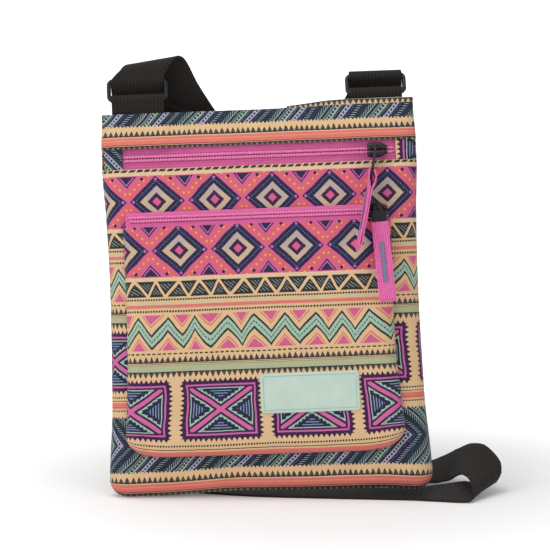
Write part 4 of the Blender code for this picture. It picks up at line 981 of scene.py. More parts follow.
def edge_lines(half, radius, step, count=7):
    """Grid lines over a width: close together round both edges and even between."""
    edges = [half - radius * (1 - math.cos(math.pi / 2 * i / count)) for i in range(count + 1)]
    inner = edges[-1]
    number = max(2, round(2 * inner / step))
    return sorted([-e for e in edges] + [-inner + 2 * inner * i / number for i in range(1, number)] + edges)


def span_lines(low, high, step):
    number = max(1, round((high - low) / step))
    return [low + (high - low) * i / number for i in range(number + 1)]


def bottom_lines(high, step, radius, count=7):
    low = [radius * (1 - math.cos(math.pi / 2 * i / count)) for i in range(count)]
    return low + span_lines(radius, high, step)


def round_edges(made, name, width, segments, above):
    """Round a piece's edges, where they turn by more than an angle in degrees."""
    bevel = made.modifiers.new(name, "BEVEL")
    bevel.width = width
    bevel.segments = segments
    bevel.limit_method = "ANGLE"
    bevel.angle_limit = math.radians(above)
    return made


def cloth_piece(name, columns, rows, place, cloth_at, thickness=CLOTH, flip=False):
    """A printed sheet on a grid: place gives its inner face, cloth_at its spot on the print."""
    bm = new_mesh()
    grid = [[bm.verts.new(on_bag(place(x, z))) for x in columns] for z in rows]
    lay_faces(bm, grid, lambda a, b: cloth_at(columns[b], rows[a]))
    if flip:
        bmesh.ops.reverse_faces(bm, faces=bm.faces)
    made = finish_piece(name, bm, printed_cloth, outward=False)
    thick = made.modifiers.new("thickness", "SOLIDIFY")
    thick.thickness = thickness
    thick.offset = 1.0
    return round_edges(made, "folded edge", thickness * 0.42, 3, 60)


def arc_across(x, half, radius):
    """Distance across the cloth to x: round the side it runs further than x does."""
    over = max(0.0, abs(x) - (half - radius))
    return math.copysign(min(abs(x), half - radius) + radius * math.asin(min(1.0, over / radius)), x)


def body_map(x, z):
    across = arc_across(x, HALF_WIDTH, SIDE_ROUND) * taper(z) - BODY_DIAMOND
    return across * 1000, (PINK_BAND_TOP - z) * 1000


def back_map(x, z):
    return (-arc_across(x, HALF_WIDTH, SIDE_ROUND) - BACK_SHIFT) * 1000, (PINK_BAND_TOP - z) * 1000


def top_map(x, z):
    return (x * 1.02 + TOP_SHIFT) * 1000, TOP_PRINT + (BAG_HEIGHT - z) * 1000


zip_low, zip_high = MAIN_ZIP_HEIGHT - MAIN_ZIP_SHOWN / 2, MAIN_ZIP_HEIGHT + MAIN_ZIP_SHOWN / 2
body_columns = edge_lines(HALF_WIDTH, SIDE_ROUND, 0.0024)
front_cloth = cloth_piece("front_cloth", body_columns, bottom_lines(zip_low, 0.0024, BOTTOM_ROUND),
                          lambda x, z: body_cloth_point(x, z, -1), body_map)
top_cloth = cloth_piece("top_band_cloth", body_columns, span_lines(zip_high, BAG_HEIGHT, 0.0018),
                        lambda x, z: body_cloth_point(x, z, -1), top_map)
back_cloth = cloth_piece("back_cloth", body_columns, bottom_lines(BAG_HEIGHT, 0.0026, BOTTOM_ROUND),
                         lambda x, z: body_cloth_point(x, z, 1), back_map, flip=True)


def lip_point(x, up):
    """The band's upper fold where it stands up in front of the right anchor; up runs from 0 to 1."""
    point = body_point(x, BAG_HEIGHT, -1)
    point.z += 0.0001 + up * (TOP_RISE - FRONT_RISE) * bump_between(x, 0.010, 0.060)
    point.y += 0.0002 - 0.0004 * math.sin(up * math.pi)
    return point


def lip_map(x, up):
    return (x + LIP_SHIFT) * 1000, LIP_PRINT - 5.2 * up


lip_cloth = cloth_piece("top_fold_cloth", [x for x in body_columns if x > LIP_FROM],
                        span_lines(0.0, 1.0, 0.25), lip_point, lip_map)
for piece, node in ((front_cloth, "front_panel"), (top_cloth, "front_top_band"),
                    (lip_cloth, "front_top_band"), (back_cloth, "back_panel")):
    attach(piece, "bag")
    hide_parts(node)


# Front pocket
# A bellows pocket of the same canvas, sewn on at its sides and bottom, its lower corners folded under. It
# swells from its seams and is fullest low down; the zip closes its top.
POCKET_WIDTH = 0.1920
POCKET_CENTRE = -0.0035
POCKET_BOTTOM = 0.0280
POCKET_TOP = 0.1920
POCKET_PRINT_TOP = 0.1935
POCKET_DEPTH = 0.0092
POCKET_TOP_DEPTH = 0.0072
POCKET_EDGE_ROUND = 0.0100
POCKET_TOP_ROUND = 0.0035
POCKET_CORNER = 0.0140
POCKET_TOP_RUN = 0.0500
POCKET_BELLY = 0.0022
POCKET_TUCK = 0.0030
POCKET_TUCK_REACH = 0.0300
POCKET_DIAMOND = 0.0246
POCKET_SPREAD = 42.3 / 41.4
POCKET_HALF = POCKET_WIDTH / 2
LABEL_AT = (0.0302, 0.0702)


def front_face(z):
    """Distance from the seam plane to the front cloth's outer face, away from its edges."""
    return GAP / 2 + panel_depth(0, z) + CLOTH


def pocket_rise(z):
    top = bump_between(z, POCKET_TOP - POCKET_TOP_RUN, POCKET_TOP)
    full = POCKET_DEPTH + (POCKET_TOP_DEPTH - POCKET_DEPTH) * top
    return full * quarter(z - POCKET_BOTTOM, POCKET_EDGE_ROUND)


def pocket_point(x, z):
    """The pocket's inner face: it swells from its side and bottom seams, whose corners are tucked."""
    top = bump_between(z, POCKET_TOP - POCKET_TOP_RUN, POCKET_TOP)
    side_round = POCKET_EDGE_ROUND + (POCKET_TOP_ROUND - POCKET_EDGE_ROUND) * top
    rise = pocket_rise(z) * quarter(POCKET_HALF - abs(x), side_round)
    flat_x, flat_z = rounded_corner(x, z - POCKET_BOTTOM, POCKET_HALF, POCKET_CORNER)
    tuck = 1 - bump_between(POCKET_HALF - abs(x), 0, POCKET_TUCK_REACH)
    tuck *= 1 - bump_between(z - POCKET_BOTTOM, 0, POCKET_TUCK_REACH)
    flat_x += (POCKET_BELLY * flat_x / POCKET_HALF + 0.0008) * (1 - bump_between(z, 0.045, 0.100))
    return Vector((POCKET_CENTRE + flat_x, -(front_face(z) + GAP + rise),
                   POCKET_BOTTOM + flat_z + POCKET_TUCK * tuck))


POCKET_CREASES = (
    ((0.092, 0.046), (0.060, 0.034), 0.0035, -0.0012),
    ((0.090, 0.060), (0.072, 0.030), 0.0030, 0.0008),
    ((-0.092, 0.046), (-0.062, 0.034), 0.0035, -0.0012),
    ((-0.088, 0.064), (-0.074, 0.034), 0.0030, 0.0007),
    ((0.094, 0.178), (0.070, 0.120), 0.0050, -0.0006),
    ((-0.094, 0.180), (-0.080, 0.130), 0.0050, -0.0006),
)


def pocket_cloth_point(x, z):
    point = pocket_point(x, z)
    free = quarter(POCKET_HALF - abs(x), 0.020) * bump_between(z - POCKET_BOTTOM, 0.004, 0.022)
    free *= 1 - bump_between(z, POCKET_TOP - 0.012, POCKET_TOP)
    under_label = (1 - bump_between(abs(point.x - LABEL_AT[0]), 0.034, 0.044)) * (
        1 - bump_between(abs(z - LABEL_AT[1]), 0.013, 0.021))
    swell = 0.0006 * ripple(x, z, 23.0) * free
    for start, end, width, height in POCKET_CREASES:
        swell += height * crease(x, z, start, end, width) * quarter(POCKET_HALF - abs(x), 0.008)
    pucker = 0.0003 * math.sin(z / 0.0012 + 4 * noise.noise(Vector((x * 9, z * 30, 5.0))))
    near_seam = 1 - bump_between(POCKET_HALF - abs(x), 0.004, 0.012)
    swell += pucker * near_seam * quarter(POCKET_HALF - abs(x), 0.006)
    point.y -= swell * (1 - under_label)
    return point


def pocket_map(x, z):
    spread = arc_across(x, POCKET_HALF, POCKET_EDGE_ROUND) + POCKET_CENTRE
    return (spread - POCKET_DIAMOND) * 1000 / POCKET_SPREAD, (POCKET_PRINT_TOP - z) * 1000


pocket_columns = edge_lines(POCKET_HALF, POCKET_EDGE_ROUND, 0.0022, 9)
pocket_heights = bottom_lines(POCKET_TOP - POCKET_BOTTOM, 0.0022, POCKET_EDGE_ROUND, 8)
pocket_cloth = cloth_piece("pocket_cloth", pocket_columns, [POCKET_BOTTOM + z for z in pocket_heights],
                           pocket_cloth_point, pocket_map)
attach(pocket_cloth, "bag")
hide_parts("pocket_panel")


# Zip end tabs
# Scraps of the printed cloth, folded and sewn over the main zip's ends, just under the panels' edges.
ZIP_END_TAB = 0.0140
TAB_OVERLAP = 0.0030
TAB_CLOTH = 0.0008


def inward(face, x, z, distance):
    """A point a distance inside a panel's inner face, along the panel's own normal."""
    point = face(x, z)
    step = 0.0002
    if abs(x) > HALF_WIDTH - step:
        return point - Vector((math.copysign(distance, x), 0, 0))
    along = face(x + step, z) - face(x - step, z)
    normal = along.cross(face(x, z + step) - face(x, z - step)).normalized()
    return point - normal * math.copysign(distance, normal.y * point.y)


def tab_point(x, z):
    return inward(lambda a, b: body_point(a, b, -1), x, z, GAP + TAB_CLOTH)


def left_tab_map(x, z):
    return x * 1000 + 118.0, 190.0 - (z - zip_low) * 1000


def right_tab_map(x, z):
    return (x - tab_inner) * 1000 - 24.5, 133.2 + (MAIN_ZIP_HEIGHT - z) * 1000


tab_inner = (TOP_WIDTH / 2 - ZIP_END_TAB) / taper(MAIN_ZIP_HEIGHT)
tab_columns = [tab_inner] + [x for x in body_columns if x > tab_inner + 0.0005]
tab_rows = span_lines(zip_low - TAB_OVERLAP, zip_high + TAB_OVERLAP, 0.0011)
for label, columns, spot in (("left", sorted(-x for x in tab_columns), left_tab_map),
                             ("right", tab_columns, right_tab_map)):
    tab = cloth_piece(f"zip_tab_{label}", columns, tab_rows, tab_point, spot, TAB_CLOTH)
    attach(tab, "bag")
    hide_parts(f"zip_end_tab_{label}")


# Zips
# Spiral zips of magenta nylon: twilled tapes, and on each a coil of thick thread wound round a filler
# cord. The main zip lies between the panels, the pocket's slopes from the front panel to the pocket's lip.
COIL_GAP = 0.0012
COIL_REACH = 0.0027
COIL_PITCH = 0.00200
COIL_WIRE = 0.00056
COIL_SLANT = 0.00095
COIL_CORD = 0.00034
SLIDER_RISE = GAP + 0.0018 + GAP
SLIDER_PLATE = 0.0010
TAPE_THICKNESS = 0.0005
RIDGE_AT = 0.0033
RIDGE_WIDTH = 0.00060
MAIN_TAPE_WIDTH = 0.0120
POCKET_ZIP_SHOWN = 0.0118
POCKET_ZIP_TILT = math.asin((POCKET_TOP_DEPTH - 0.0018) / POCKET_ZIP_SHOWN)
POCKET_TAPE_WIDTH = 0.0052


def zip_place(y, z, tilt):
    """A zip's frame on the bag: x along the teeth, y across the tapes and up, z out of the bag."""
    across = Vector((0, math.sin(tilt), math.cos(tilt)))
    out = Vector((0, -math.cos(tilt), math.sin(tilt)))
    return Matrix.Translation((0, y, z)) @ Matrix((Vector((1, 0, 0)), across, out)).transposed().to_4x4()


def main_zip_place():
    step = 0.001
    low, high = panel_depth(0, MAIN_ZIP_HEIGHT - step), panel_depth(0, MAIN_ZIP_HEIGHT + step)
    depth = GAP / 2 + panel_depth(0, MAIN_ZIP_HEIGHT) - 2 * GAP - TAB_CLOTH
    return BAG_PLACE @ zip_place(-depth, MAIN_ZIP_HEIGHT, math.atan((low - high) / (2 * step)))


def pocket_zip_place():
    half = POCKET_ZIP_SHOWN / 2
    edge = front_face(POCKET_TOP) + POCKET_TOP_DEPTH
    y, z = half * math.sin(POCKET_ZIP_TILT) - edge, POCKET_TOP + half * math.cos(POCKET_ZIP_TILT)
    return BAG_PLACE @ zip_place(y, z, POCKET_ZIP_TILT)


def add_thread_material(name, dark, light, pitch, clouds=(0.10, 3.0), highlight_and_fade=(0.75, 0.35),
                        contrast=(0.20, 0.95), rough=(0.12, 0.7), sheen=0.05, specular=0.5,
                        bump=(0.5, 0.00012)):
    """Dyed thread: a fine weave with a painted highlight on each thread's crown, faded in clouds, with a
    soft sheen.
    """
    made, tree, shader = new_material(name)
    cloth = cloth_map(tree)
    woven = use_group(tree, weave_group, Cloth=cloth, Pitch_Across=pitch[0], Pitch_Along=pitch[1])
    cloudy = noise_number(tree, cloth, *clouds)
    thread = Number(tree, woven.outputs["Thread"])
    # The light colour is a painted highlight on the threads' crowns, mixed with dye faded in clouds.
    blend = (thread * highlight_and_fade[0] + cloudy * highlight_and_fade[1]).ramp(*contrast)
    feed(shader, Base_Color=mix_colour(tree, dark, light, blend), Roughness=cloudy * rough[0] + rough[1],
         Specular_IOR_Level=specular, Sheen_Weight=sheen)
    add_bump(tree, shader, woven.outputs["Height"], *bump)
    return made


def add_nylon_material(name, dark, light, rough, sheen, rib):
    """Smooth dyed nylon with a fine rib, a painted highlight on the rib's crowns and a faint shine."""
    return add_thread_material(name, dark, light, (rib, rib * 1.3), rough=(0.12, rough), sheen=sheen,
                               specular=0.4)


# In each pair the lighter colour is the painted highlight on the crowns, mixed with faded dye.
zip_tape_nylon = add_nylon_material(
    "magenta tape", srgb(196, 70, 138), srgb(230, 116, 174), 0.72, 0.08, 0.55)
coil_nylon = add_nylon_material("magenta coil", srgb(222, 88, 158), srgb(252, 156, 208), 0.45, 0.02, 0.35)


def tape_piece(name, place, low, high, inner, outer, ridge, material):
    """A twilled tape with a raised cord line beside its coil, as a thin closed strip."""
    side = 1 if outer > inner else -1
    across = span_lines(0, abs(outer - inner), 0.0005)
    columns = span_lines(low, high, 0.0020)
    bm = new_mesh()
    tops, unders = [], []
    for x in columns:
        sway = 0.00006 * noise.noise(Vector((x * 60, inner * 900, 2.0)))
        top, under = [], []
        for step in across:
            rise = ridge * math.exp(-((step - RIDGE_AT) / RIDGE_WIDTH) ** 2)
            y = inner + side * step
            top.append(bm.verts.new(place @ Vector((x, y, rise + sway))))
            under.append(bm.verts.new(place @ Vector((x, y, sway - TAPE_THICKNESS))))
        tops.append(top)
        unders.append(under)
    for sheet in (tops, unders):
        lay_faces(bm, sheet, lambda a, b: (across[b] * 1000, columns[a] * 1000))
    for i in range(len(columns) - 1):
        for j in (0, len(across) - 1):
            add_face(bm, (tops[i][j], tops[i + 1][j], unders[i + 1][j], unders[i][j]),
                     [(0, columns[i] * 1000)] * 4)
    for i in (0, len(columns) - 1):
        for j in range(len(across) - 1):
            add_face(bm, (tops[i][j], tops[i][j + 1], unders[i][j + 1], unders[i][j]),
                     [(across[j] * 1000, 0)] * 4)
    return finish_piece(name, bm, material)


def tube_into(bm, points, radius, sides, reference=None, squash=1.0):
    """Sweep a round thread along points; its map runs round and along it."""
    rings, run, before = [], 0.0, None
    for i, point in enumerate(points):
        along = (points[min(i + 1, len(points) - 1)] - points[max(i - 1, 0)]).normalized()
        first = reference if reference is not None else before
        if first is None or abs(first.dot(along)) > 0.99:
            first = Vector((0, 0, 1)) if abs(along.z) < 0.9 else Vector((1, 0, 0))
        right = along.cross(first).normalized()
        up = right.cross(along).normalized()
        before = up
        run += (point - points[i - 1]).length if i else 0.0
        turns = [2 * math.pi * k / sides for k in range(sides)]
        ring = [bm.verts.new(point + right * (radius * math.cos(a)) + up * (radius * squash * math.sin(a)))
                for a in turns]
        rings.append((ring, run * 1000))
    width = 2 * math.pi * radius * 1000 / sides
    for (first, low), (second, high) in zip(rings, rings[1:]):
        for k in range(sides):
            after = (k + 1) % sides
            add_face(bm, (first[k], first[after], second[after], second[k]),
                     ((k * width, low), ((k + 1) * width, low), ((k + 1) * width, high), (k * width, high)))
    bm.faces.new(rings[0][0][::-1])
    bm.faces.new(rings[-1][0])


def coil_piece(name, place, side, low, high, material):
    """One row of teeth: a thread wound round its filler cord, slanting towards the zip's middle."""
    bm = new_mesh()
    inner, outer = 0.00008, COIL_REACH
    middle, reach = (inner + outer) / 2, (outer - inner) / 2 - COIL_WIRE
    top = 0.5 * (SLIDER_RISE - 2 * GAP) - COIL_WIRE
    turns, steps = int((high - low) / COIL_PITCH), 9
    points = []
    for i in range(turns * steps + 1):
        angle = 2 * math.pi * i / steps
        along = low + COIL_PITCH * i / steps + COIL_SLANT * math.cos(angle)
        y = side * (middle - reach * math.cos(angle))
        z = GAP + COIL_WIRE + top * (1 + math.sin(angle))
        points.append(place @ Vector((along, y, z)))
    tube_into(bm, points, COIL_WIRE, 6)
    level = GAP + COIL_WIRE + top
    core = [place @ Vector((x, side * middle, level)) for x in (low, (low + high) / 2, high)]
    tube_into(bm, core, COIL_CORD, 6)
    return finish_piece(name, bm, material, outward=False)


main_zip, pocket_zip = main_zip_place(), pocket_zip_place()
main_zip_half = TOP_WIDTH / 2 - ZIP_END_TAB
pocket_zip_half = POCKET_HALF - POCKET_TOP_ROUND - 4 * GAP
zips = (
    ("main_zip", main_zip, -main_zip_half, main_zip_half, MAIN_TAPE_WIDTH, 0.0020, 0.00090),
    ("pocket_zip", pocket_zip, POCKET_CENTRE - pocket_zip_half, POCKET_CENTRE + pocket_zip_half,
     POCKET_TAPE_WIDTH, 0.0022, 0.00060),
)
for label, place, low, high, width, beyond, ridge in zips:
    inner, outer = 0.00015, COIL_GAP / 2 + GAP + width
    for row, side in (("upper", 1), ("lower", -1)):
        tape = tape_piece(f"{label}_band_{row}", place, low - beyond, high + beyond, side * inner,
                          side * outer, ridge, zip_tape_nylon)
        coil = coil_piece(f"{label}_spiral_{row}", place, side, low + GAP, high - GAP, coil_nylon)
        for piece, node, finish in ((tape, f"{label}_tape_{row}", "zip_tape"),
                                    (coil, f"{label}_coil_{row}", "zip_coil")):
            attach(piece, "bag")
            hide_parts(node)


# Sliders
# Cast zinc under black enamel: a domed top plate whose edges turn down over the teeth, a flat lower plate,
# the wedge between them at the right end, and a bent bail on top that the pull hangs on.
SLIDER_LENGTH = 0.0140
SLIDER_HALF = 0.0053
SLIDER_LOWER_HALF = 0.0040
BAIL_WIRE = 0.00095
BAIL_AXIS = SLIDER_RISE + SLIDER_PLATE + 0.0027 + 0.0014
MAIN_SLIDER_AT = 0.0850
POCKET_SLIDER_AT = 0.0834


def add_enamel(name, base, worn, rough):
    """Black finish with a fine orange peel, roughness varied in clouds, and paler rubbed edges."""
    made, tree, shader = new_material(name)
    place = tree.nodes.new("ShaderNodeTexCoord").outputs["Object"]
    grain = noise_number(tree, place, 900.0, 3.0)
    cloudy = noise_number(tree, place, 160.0, 3.0)
    point = tree.nodes.new("ShaderNodeNewGeometry").outputs["Pointiness"]
    edge = Number(tree, point).ramp(0.52, 0.62) * cloudy.ramp(0.42, 0.62)
    feed(shader, Base_Color=mix_colour(tree, base, worn, edge * 0.55),
         Roughness=cloudy * 0.16 + edge * 0.15 + rough, Specular_IOR_Level=0.26, Coat_Weight=0.05)
    add_bump(tree, shader, grain, 0.10, 0.0001)
    return made


black_enamel = add_enamel("black enamel", srgb(14, 13, 14), srgb(58, 55, 53), 0.26)
black_moulding = add_enamel("black moulding", srgb(14, 13, 14), srgb(44, 42, 41), 0.34)


def slider_width(part):
    """Half width of the slider at a share of its length, from its flat left end to its nose."""
    shoulder = 0.86 + 0.14 * bump_between(part, 0.0, 0.22)
    return SLIDER_HALF * shoulder * (1 - 0.42 * bump_between(part, 0.58, 1.02) ** 1.3)


def slider_section(half, dome):
    """Outline across the slider's top plate with its turned-down edges, as (across, out) points."""
    top = SLIDER_RISE + SLIDER_PLATE
    outer = [(half, 0.0004), (half + 0.00005, 0.0016), (half - 0.0003, top - 0.0006),
             (half - 0.0011, top - 0.00005), (half * 0.45, top + dome * 0.7), (0.0, top + dome)]
    inner = [(0.0, SLIDER_RISE), (half - 0.0016, SLIDER_RISE), (half - 0.00110, SLIDER_RISE - 0.0005),
             (half - 0.0010, 0.0004)]
    right = outer + inner
    return right + [(-a, b) for a, b in reversed(right[:-1]) if a > 1e-6 or b < SLIDER_RISE]


def skin(bm, rings, closed=False):
    """Join loops of vertices, each to the next, and cap the ends or close the row into a ring."""
    for first, second in zip(rings, rings[1:] + (rings[:1] if closed else [])):
        for i in range(len(first)):
            after = (i + 1) % len(first)
            bm.faces.new((first[i], first[after], second[after], second[i]))
    if not closed:
        bm.faces.new(rings[0][::-1])
        bm.faces.new(rings[-1])


def slider_piece(name, place, at, material):
    bm = new_mesh()
    under = -TAPE_THICKNESS - GAP
    upper, lower, wedge = [], [], []
    for part in (0.0, 0.025, 0.07, 0.2, 0.35, 0.5, 0.62, 0.74, 0.84, 0.92, 0.97, 1.0):
        x = at + SLIDER_LENGTH * (part - 0.5)
        round_off = quarter(min(part, 1 - part), 0.06)
        half = slider_width(part) - 0.0005 * (1 - round_off)
        dome = 0.00035 * round_off - 0.0004 * (1 - round_off)
        upper.append([(x, a, b) for a, b in slider_section(half, dome)])
        half = min(slider_width(part), SLIDER_LOWER_HALF) - 0.0006 * (1 - round_off)
        right = [(half, under), (half, under - 0.0006), (half - 0.0005, under - SLIDER_PLATE)]
        lower.append([(x, a, b) for a, b in right + [(-a, b) for a, b in reversed(right)]])
    for x, half in ((0.0008, 0.00022), (0.0040, 0.00028), (0.0066, 0.00028)):
        low, high = under - 0.0002, SLIDER_RISE + 0.0003
        wedge.append([(at + x, a, b) for a, b in ((half, low), (half, high), (-half, high), (-half, low))])
    for loops in (upper, lower, wedge):
        skin(bm, [[bm.verts.new(place @ Vector(point)) for point in loop] for loop in loops])
    foot, top = SLIDER_RISE + SLIDER_PLATE - 0.0004, BAIL_AXIS
    right = [(0.0010, top), (0.0026, top - 0.00005), (0.0035, top - 0.0005), (0.00395, top - 0.0014),
             (0.0042, foot + 0.0012), (0.0043, foot)]
    bail = [place @ Vector((at + a, 0, b)) for a, b in [(-a, b) for a, b in reversed(right)] + right]
    tube_into(bm, bail, BAIL_WIRE, 10, reference=place.to_3x3() @ Vector((0, 1, 0)), squash=0.62)
    return finish_piece(name, bm, material)


main_slider = slider_piece("main_slider_cast", main_zip, MAIN_SLIDER_AT, black_enamel)
pocket_slider = slider_piece("pocket_slider_cast", pocket_zip, POCKET_SLIDER_AT, black_enamel)
for piece, label in ((main_slider, "main"), (pocket_slider, "pocket")):
    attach(piece, f"{label}_slider")
    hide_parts(f"{label}_zip_slider")


# Pulls
# A moulded black pull on each bail, and a doubled magenta tape that grips its tongue, closed with a
# slate-blue bartack. The main pull hangs edge-on, its loop bulging; the pocket's lies flat to the front.
PULLER_THICKNESS = 0.0016
EYE_BORE = 0.00152
EYE_RADIUS = 0.0027
EYE_HALF = 0.0011
TONGUE_LENGTH = 0.0065
PULL_TAPE_WIDTH = 0.0120
PULL_TAPE_LAYER = 0.0012
TAPE_TURN = math.radians(13)
BARTACK_AT = 0.52
BARTACK_LENGTH = 0.0290
BARTACK_WIDTH = 0.0042
PULLS = {
    "main": {"zip": main_zip, "at": MAIN_SLIDER_AT - 0.0012, "tilt": math.radians(20.8),
             "lean": math.radians(10.5), "reach": 0.0185, "length": 0.0590, "across_zip": True},
    "pocket": {"zip": pocket_zip, "at": POCKET_SLIDER_AT, "tilt": math.radians(10.0),
               "lean": math.radians(-3.5), "reach": 0.0112, "length": 0.0568, "across_zip": False},
}


def pull_place(label):
    """A pull's frame: its origin on the bail's bar and its z up along the pull."""
    pull = PULLS[label]
    turned_back = (BAG_PLACE.inverted() @ pull["zip"]).to_3x3().inverted().to_4x4()
    hang = turned_back @ Matrix.Rotation(-pull["tilt"], 4, "X") @ Matrix.Rotation(pull["lean"], 4, "Y")
    return pull["zip"] @ Matrix.Translation((pull["at"], 0, BAIL_AXIS)) @ hang


def puller_outline(reach):
    """The plate's outline, walked round from the top so that it pairs with the eye's hole."""
    heights = [EYE_RADIUS - EYE_RADIUS * (1 - math.cos(math.pi / 2 * i / 6)) for i in range(7)]
    top = [(math.sqrt(max(0.0, EYE_RADIUS ** 2 - h * h)), h) for h in heights]
    lower = [(0.0030, -0.08 * reach), (0.0036, -0.21 * reach), (0.0045, -0.41 * reach),
             (0.0052, -0.66 * reach), (0.0054, -0.86 * reach), (0.0054, -reach + 0.0010),
             (0.0051, -reach + 0.0002), (0.0040, -reach), (0.0040, -reach - 0.0030),
             (0.0039, -reach - TONGUE_LENGTH)]
    right = top + lower
    return right + [(-a, b) for a, b in reversed(right) if a > 1e-6]


def puller_piece(name, place, reach, across_zip, material):
    """A flat plate with a tongue, and the round eye it hangs by: in the plate, or across its top."""
    def turned(a, b, out):
        return place @ Vector((out, a, b) if across_zip else (a, out, b))

    outline = puller_outline(reach)
    count = len(outline)
    bm = new_mesh()
    if across_zip:
        angles = [2 * math.pi * i / count for i in range(count)]
        hole = [(EYE_BORE * math.sin(angle), EYE_BORE * math.cos(angle)) for angle in angles]
        half = PULLER_THICKNESS / 2
        loops = ((outline, half), (hole, half), (hole, -half), (outline, -half))
        skin(bm, [[bm.verts.new(turned(a, b, out)) for a, b in loop] for loop, out in loops], closed=True)
    else:
        body = [(a, min(b, -0.0022)) for a, b in outline]
        solid = [[bm.verts.new(turned(a, b, o)) for a, b in body]
                 for o in (PULLER_THICKNESS / 2, -PULLER_THICKNESS / 2)]
        for i in range(count):
            after = (i + 1) % count
            if body[i] != body[after]:
                bm.faces.new((solid[0][i], solid[0][after], solid[1][after], solid[1][i]))
        bm.faces.new(solid[0])
        bm.faces.new(solid[1][::-1])
        bmesh.ops.remove_doubles(bm, verts=bm.verts, dist=1e-7)
    rim = ((EYE_BORE, -0.7), (EYE_BORE + 0.0002, -1.0), (0.0024, -1.0), (EYE_RADIUS, -0.75),
           (EYE_RADIUS, 0.75), (0.0024, 1.0), (EYE_BORE + 0.0002, 1.0), (EYE_BORE, 0.7))
    eye = []
    for i in range(24):
        angle = 2 * math.pi * i / 24
        eye.append([bm.verts.new(place @ Vector((o * EYE_HALF, r * math.sin(angle), r * math.cos(angle))))
                    for r, o in rim])
    skin(bm, eye, closed=True)
    return round_edges(finish_piece(name, bm, material), "moulded edges", 0.00035, 3, 50)


def pull_tape_stations(label):
    """The folded tape's middle line and the direction across it, from its front end round its fold."""
    pull = PULLS[label]
    place = pull_place(label)
    top = -pull["reach"] - GAP - 0.0006
    end = -pull["reach"] - GAP - pull["length"]
    grip = PULLER_THICKNESS / 2 + GAP + PULL_TAPE_LAYER / 2
    join = PULL_TAPE_LAYER / 2 + 0.0001
    if pull["across_zip"]:
        near = [(grip - 0.0002, top + 0.0004), (grip + 0.0010, top - 0.0018), (join + 0.0028, top - 0.0046),
                (join + 0.0024, top - 0.0076), (join + 0.0012, top - 0.0112), (join + 0.0002, top - 0.0150)]
        far = [(-join, top - 0.0136), (-join - 0.0004, top - 0.0096), (-grip, top - 0.0051),
               (-grip, top - 0.0011), (-grip + 0.0002, top + 0.0004)]
    else:
        near = [(grip, top + 0.0004), (grip, top - 0.0021), (grip, top - 0.0061),
                (join + 0.0002, top - 0.0111), (join, top - 0.0146)]
        far = [(-a, b) for a, b in reversed(near)]
    legs = [(join, end + 0.0250), (join, end + 0.0120), (join, end + 0.0006)]
    bottom = [(0.0, end - 0.0004)]
    route = near + legs + bottom + [(-a, b) for a, b in reversed(legs)] + far
    normal, width = Vector((1, 0, 0)), Vector((0, 1, 0))
    turned, sagged = TAPE_TURN, -0.0014
    if not pull["across_zip"]:
        normal, width = width, normal
        turned, sagged = 0.0, 0.0
    stations = []
    for a, b in route:
        spin = Matrix.Rotation(turned * bump_between(top - b, 0.001, 0.019), 3, "Z")
        sag = sagged * bump_between(top - b, 0.019, 0.057)
        spot = spin @ (normal * a) + normal * sag + Vector((0, 0, b))
        stations.append((place @ spot, place.to_3x3() @ (spin @ width)))
    return stations


def zigzag_thread(name, place, middle, face, across_zip, material):
    """A bartack: thread laid to and fro across a line, dense enough to read as one bar."""
    def spot(across, along, lift):
        return place @ Vector((-lift, across, along) if across_zip else (across, -lift, along))

    bm = new_mesh()
    count = int(BARTACK_LENGTH / 0.00050)
    points = []
    for i in range(count + 1):
        along = middle - BARTACK_LENGTH / 2 + BARTACK_LENGTH * i / count
        across = (BARTACK_WIDTH / 2) * (1 if i % 2 else -1) * (0.94 + 0.06 * math.sin(i * 2.7))
        points.append(spot(across, along, face + 0.00022))
        if i < count:
            points.append(spot(0.0, along + BARTACK_LENGTH / count / 2, face + 0.00042))
    tube_into(bm, points, 0.00026, 6)
    return finish_piece(name, bm, material)


# In each pair below the lighter colour is the painted highlight on the crowns, mixed with faded dye.
pull_tape_weave = add_thread_material(
    "pull tape", srgb(184, 42, 118), srgb(244, 118, 186), (1.60, 1.40), clouds=(0.16, 3.0),
    highlight_and_fade=(0.8, 0.3), contrast=(0.15, 0.9), rough=(0.1, 0.68), sheen=0.08, bump=(0.7, 0.00022))
slate_thread = add_nylon_material(
    "slate thread", srgb(104, 130, 164), srgb(158, 180, 206), 0.55, 0.05, 0.20)
for label, pull in PULLS.items():
    place, across_zip = pull_place(label), pull["across_zip"]
    puller = puller_piece(f"{label}_pull_moulding", place, pull["reach"], across_zip, black_moulding)
    route = smooth_stations(pull_tape_stations(label), 0.0012)
    tape, run = webbing_ribbon(f"{label}_pull_ribbon", route, PULL_TAPE_WIDTH, PULL_TAPE_LAYER,
                               pull_tape_weave, 12)
    turned = place
    if across_zip:
        turned = place @ Matrix.Translation((-0.0010, 0, 0)) @ Matrix.Rotation(TAPE_TURN, 4, "Z")
    bartack = zigzag_thread(f"{label}_bartack_thread", turned, -pull["reach"] - pull["length"] * BARTACK_AT,
                            PULL_TAPE_LAYER + 0.0001, across_zip, slate_thread)
    for piece, node, finish in ((puller, f"{label}_zip_puller", "black_plastic"),
                                (tape, f"{label}_pull_tape", "pull_tape"),
                                (bartack, f"{label}_tape_bartack", "bartack")):
        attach(piece, f"{label}_pull")
        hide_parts(node)


# Label
# A bare woven patch with rounded corners, sewn flat on the pocket with one row of small green stitches.
LABEL_WIDTH = 0.0710
LABEL_HEIGHT = 0.0285
LABEL_THICKNESS = 0.0010
LABEL_CORNER = 0.0028
STITCH_INSET = 0.0022


def pocket_face(z):
    return front_face(z) + GAP + pocket_rise(z) + CLOTH


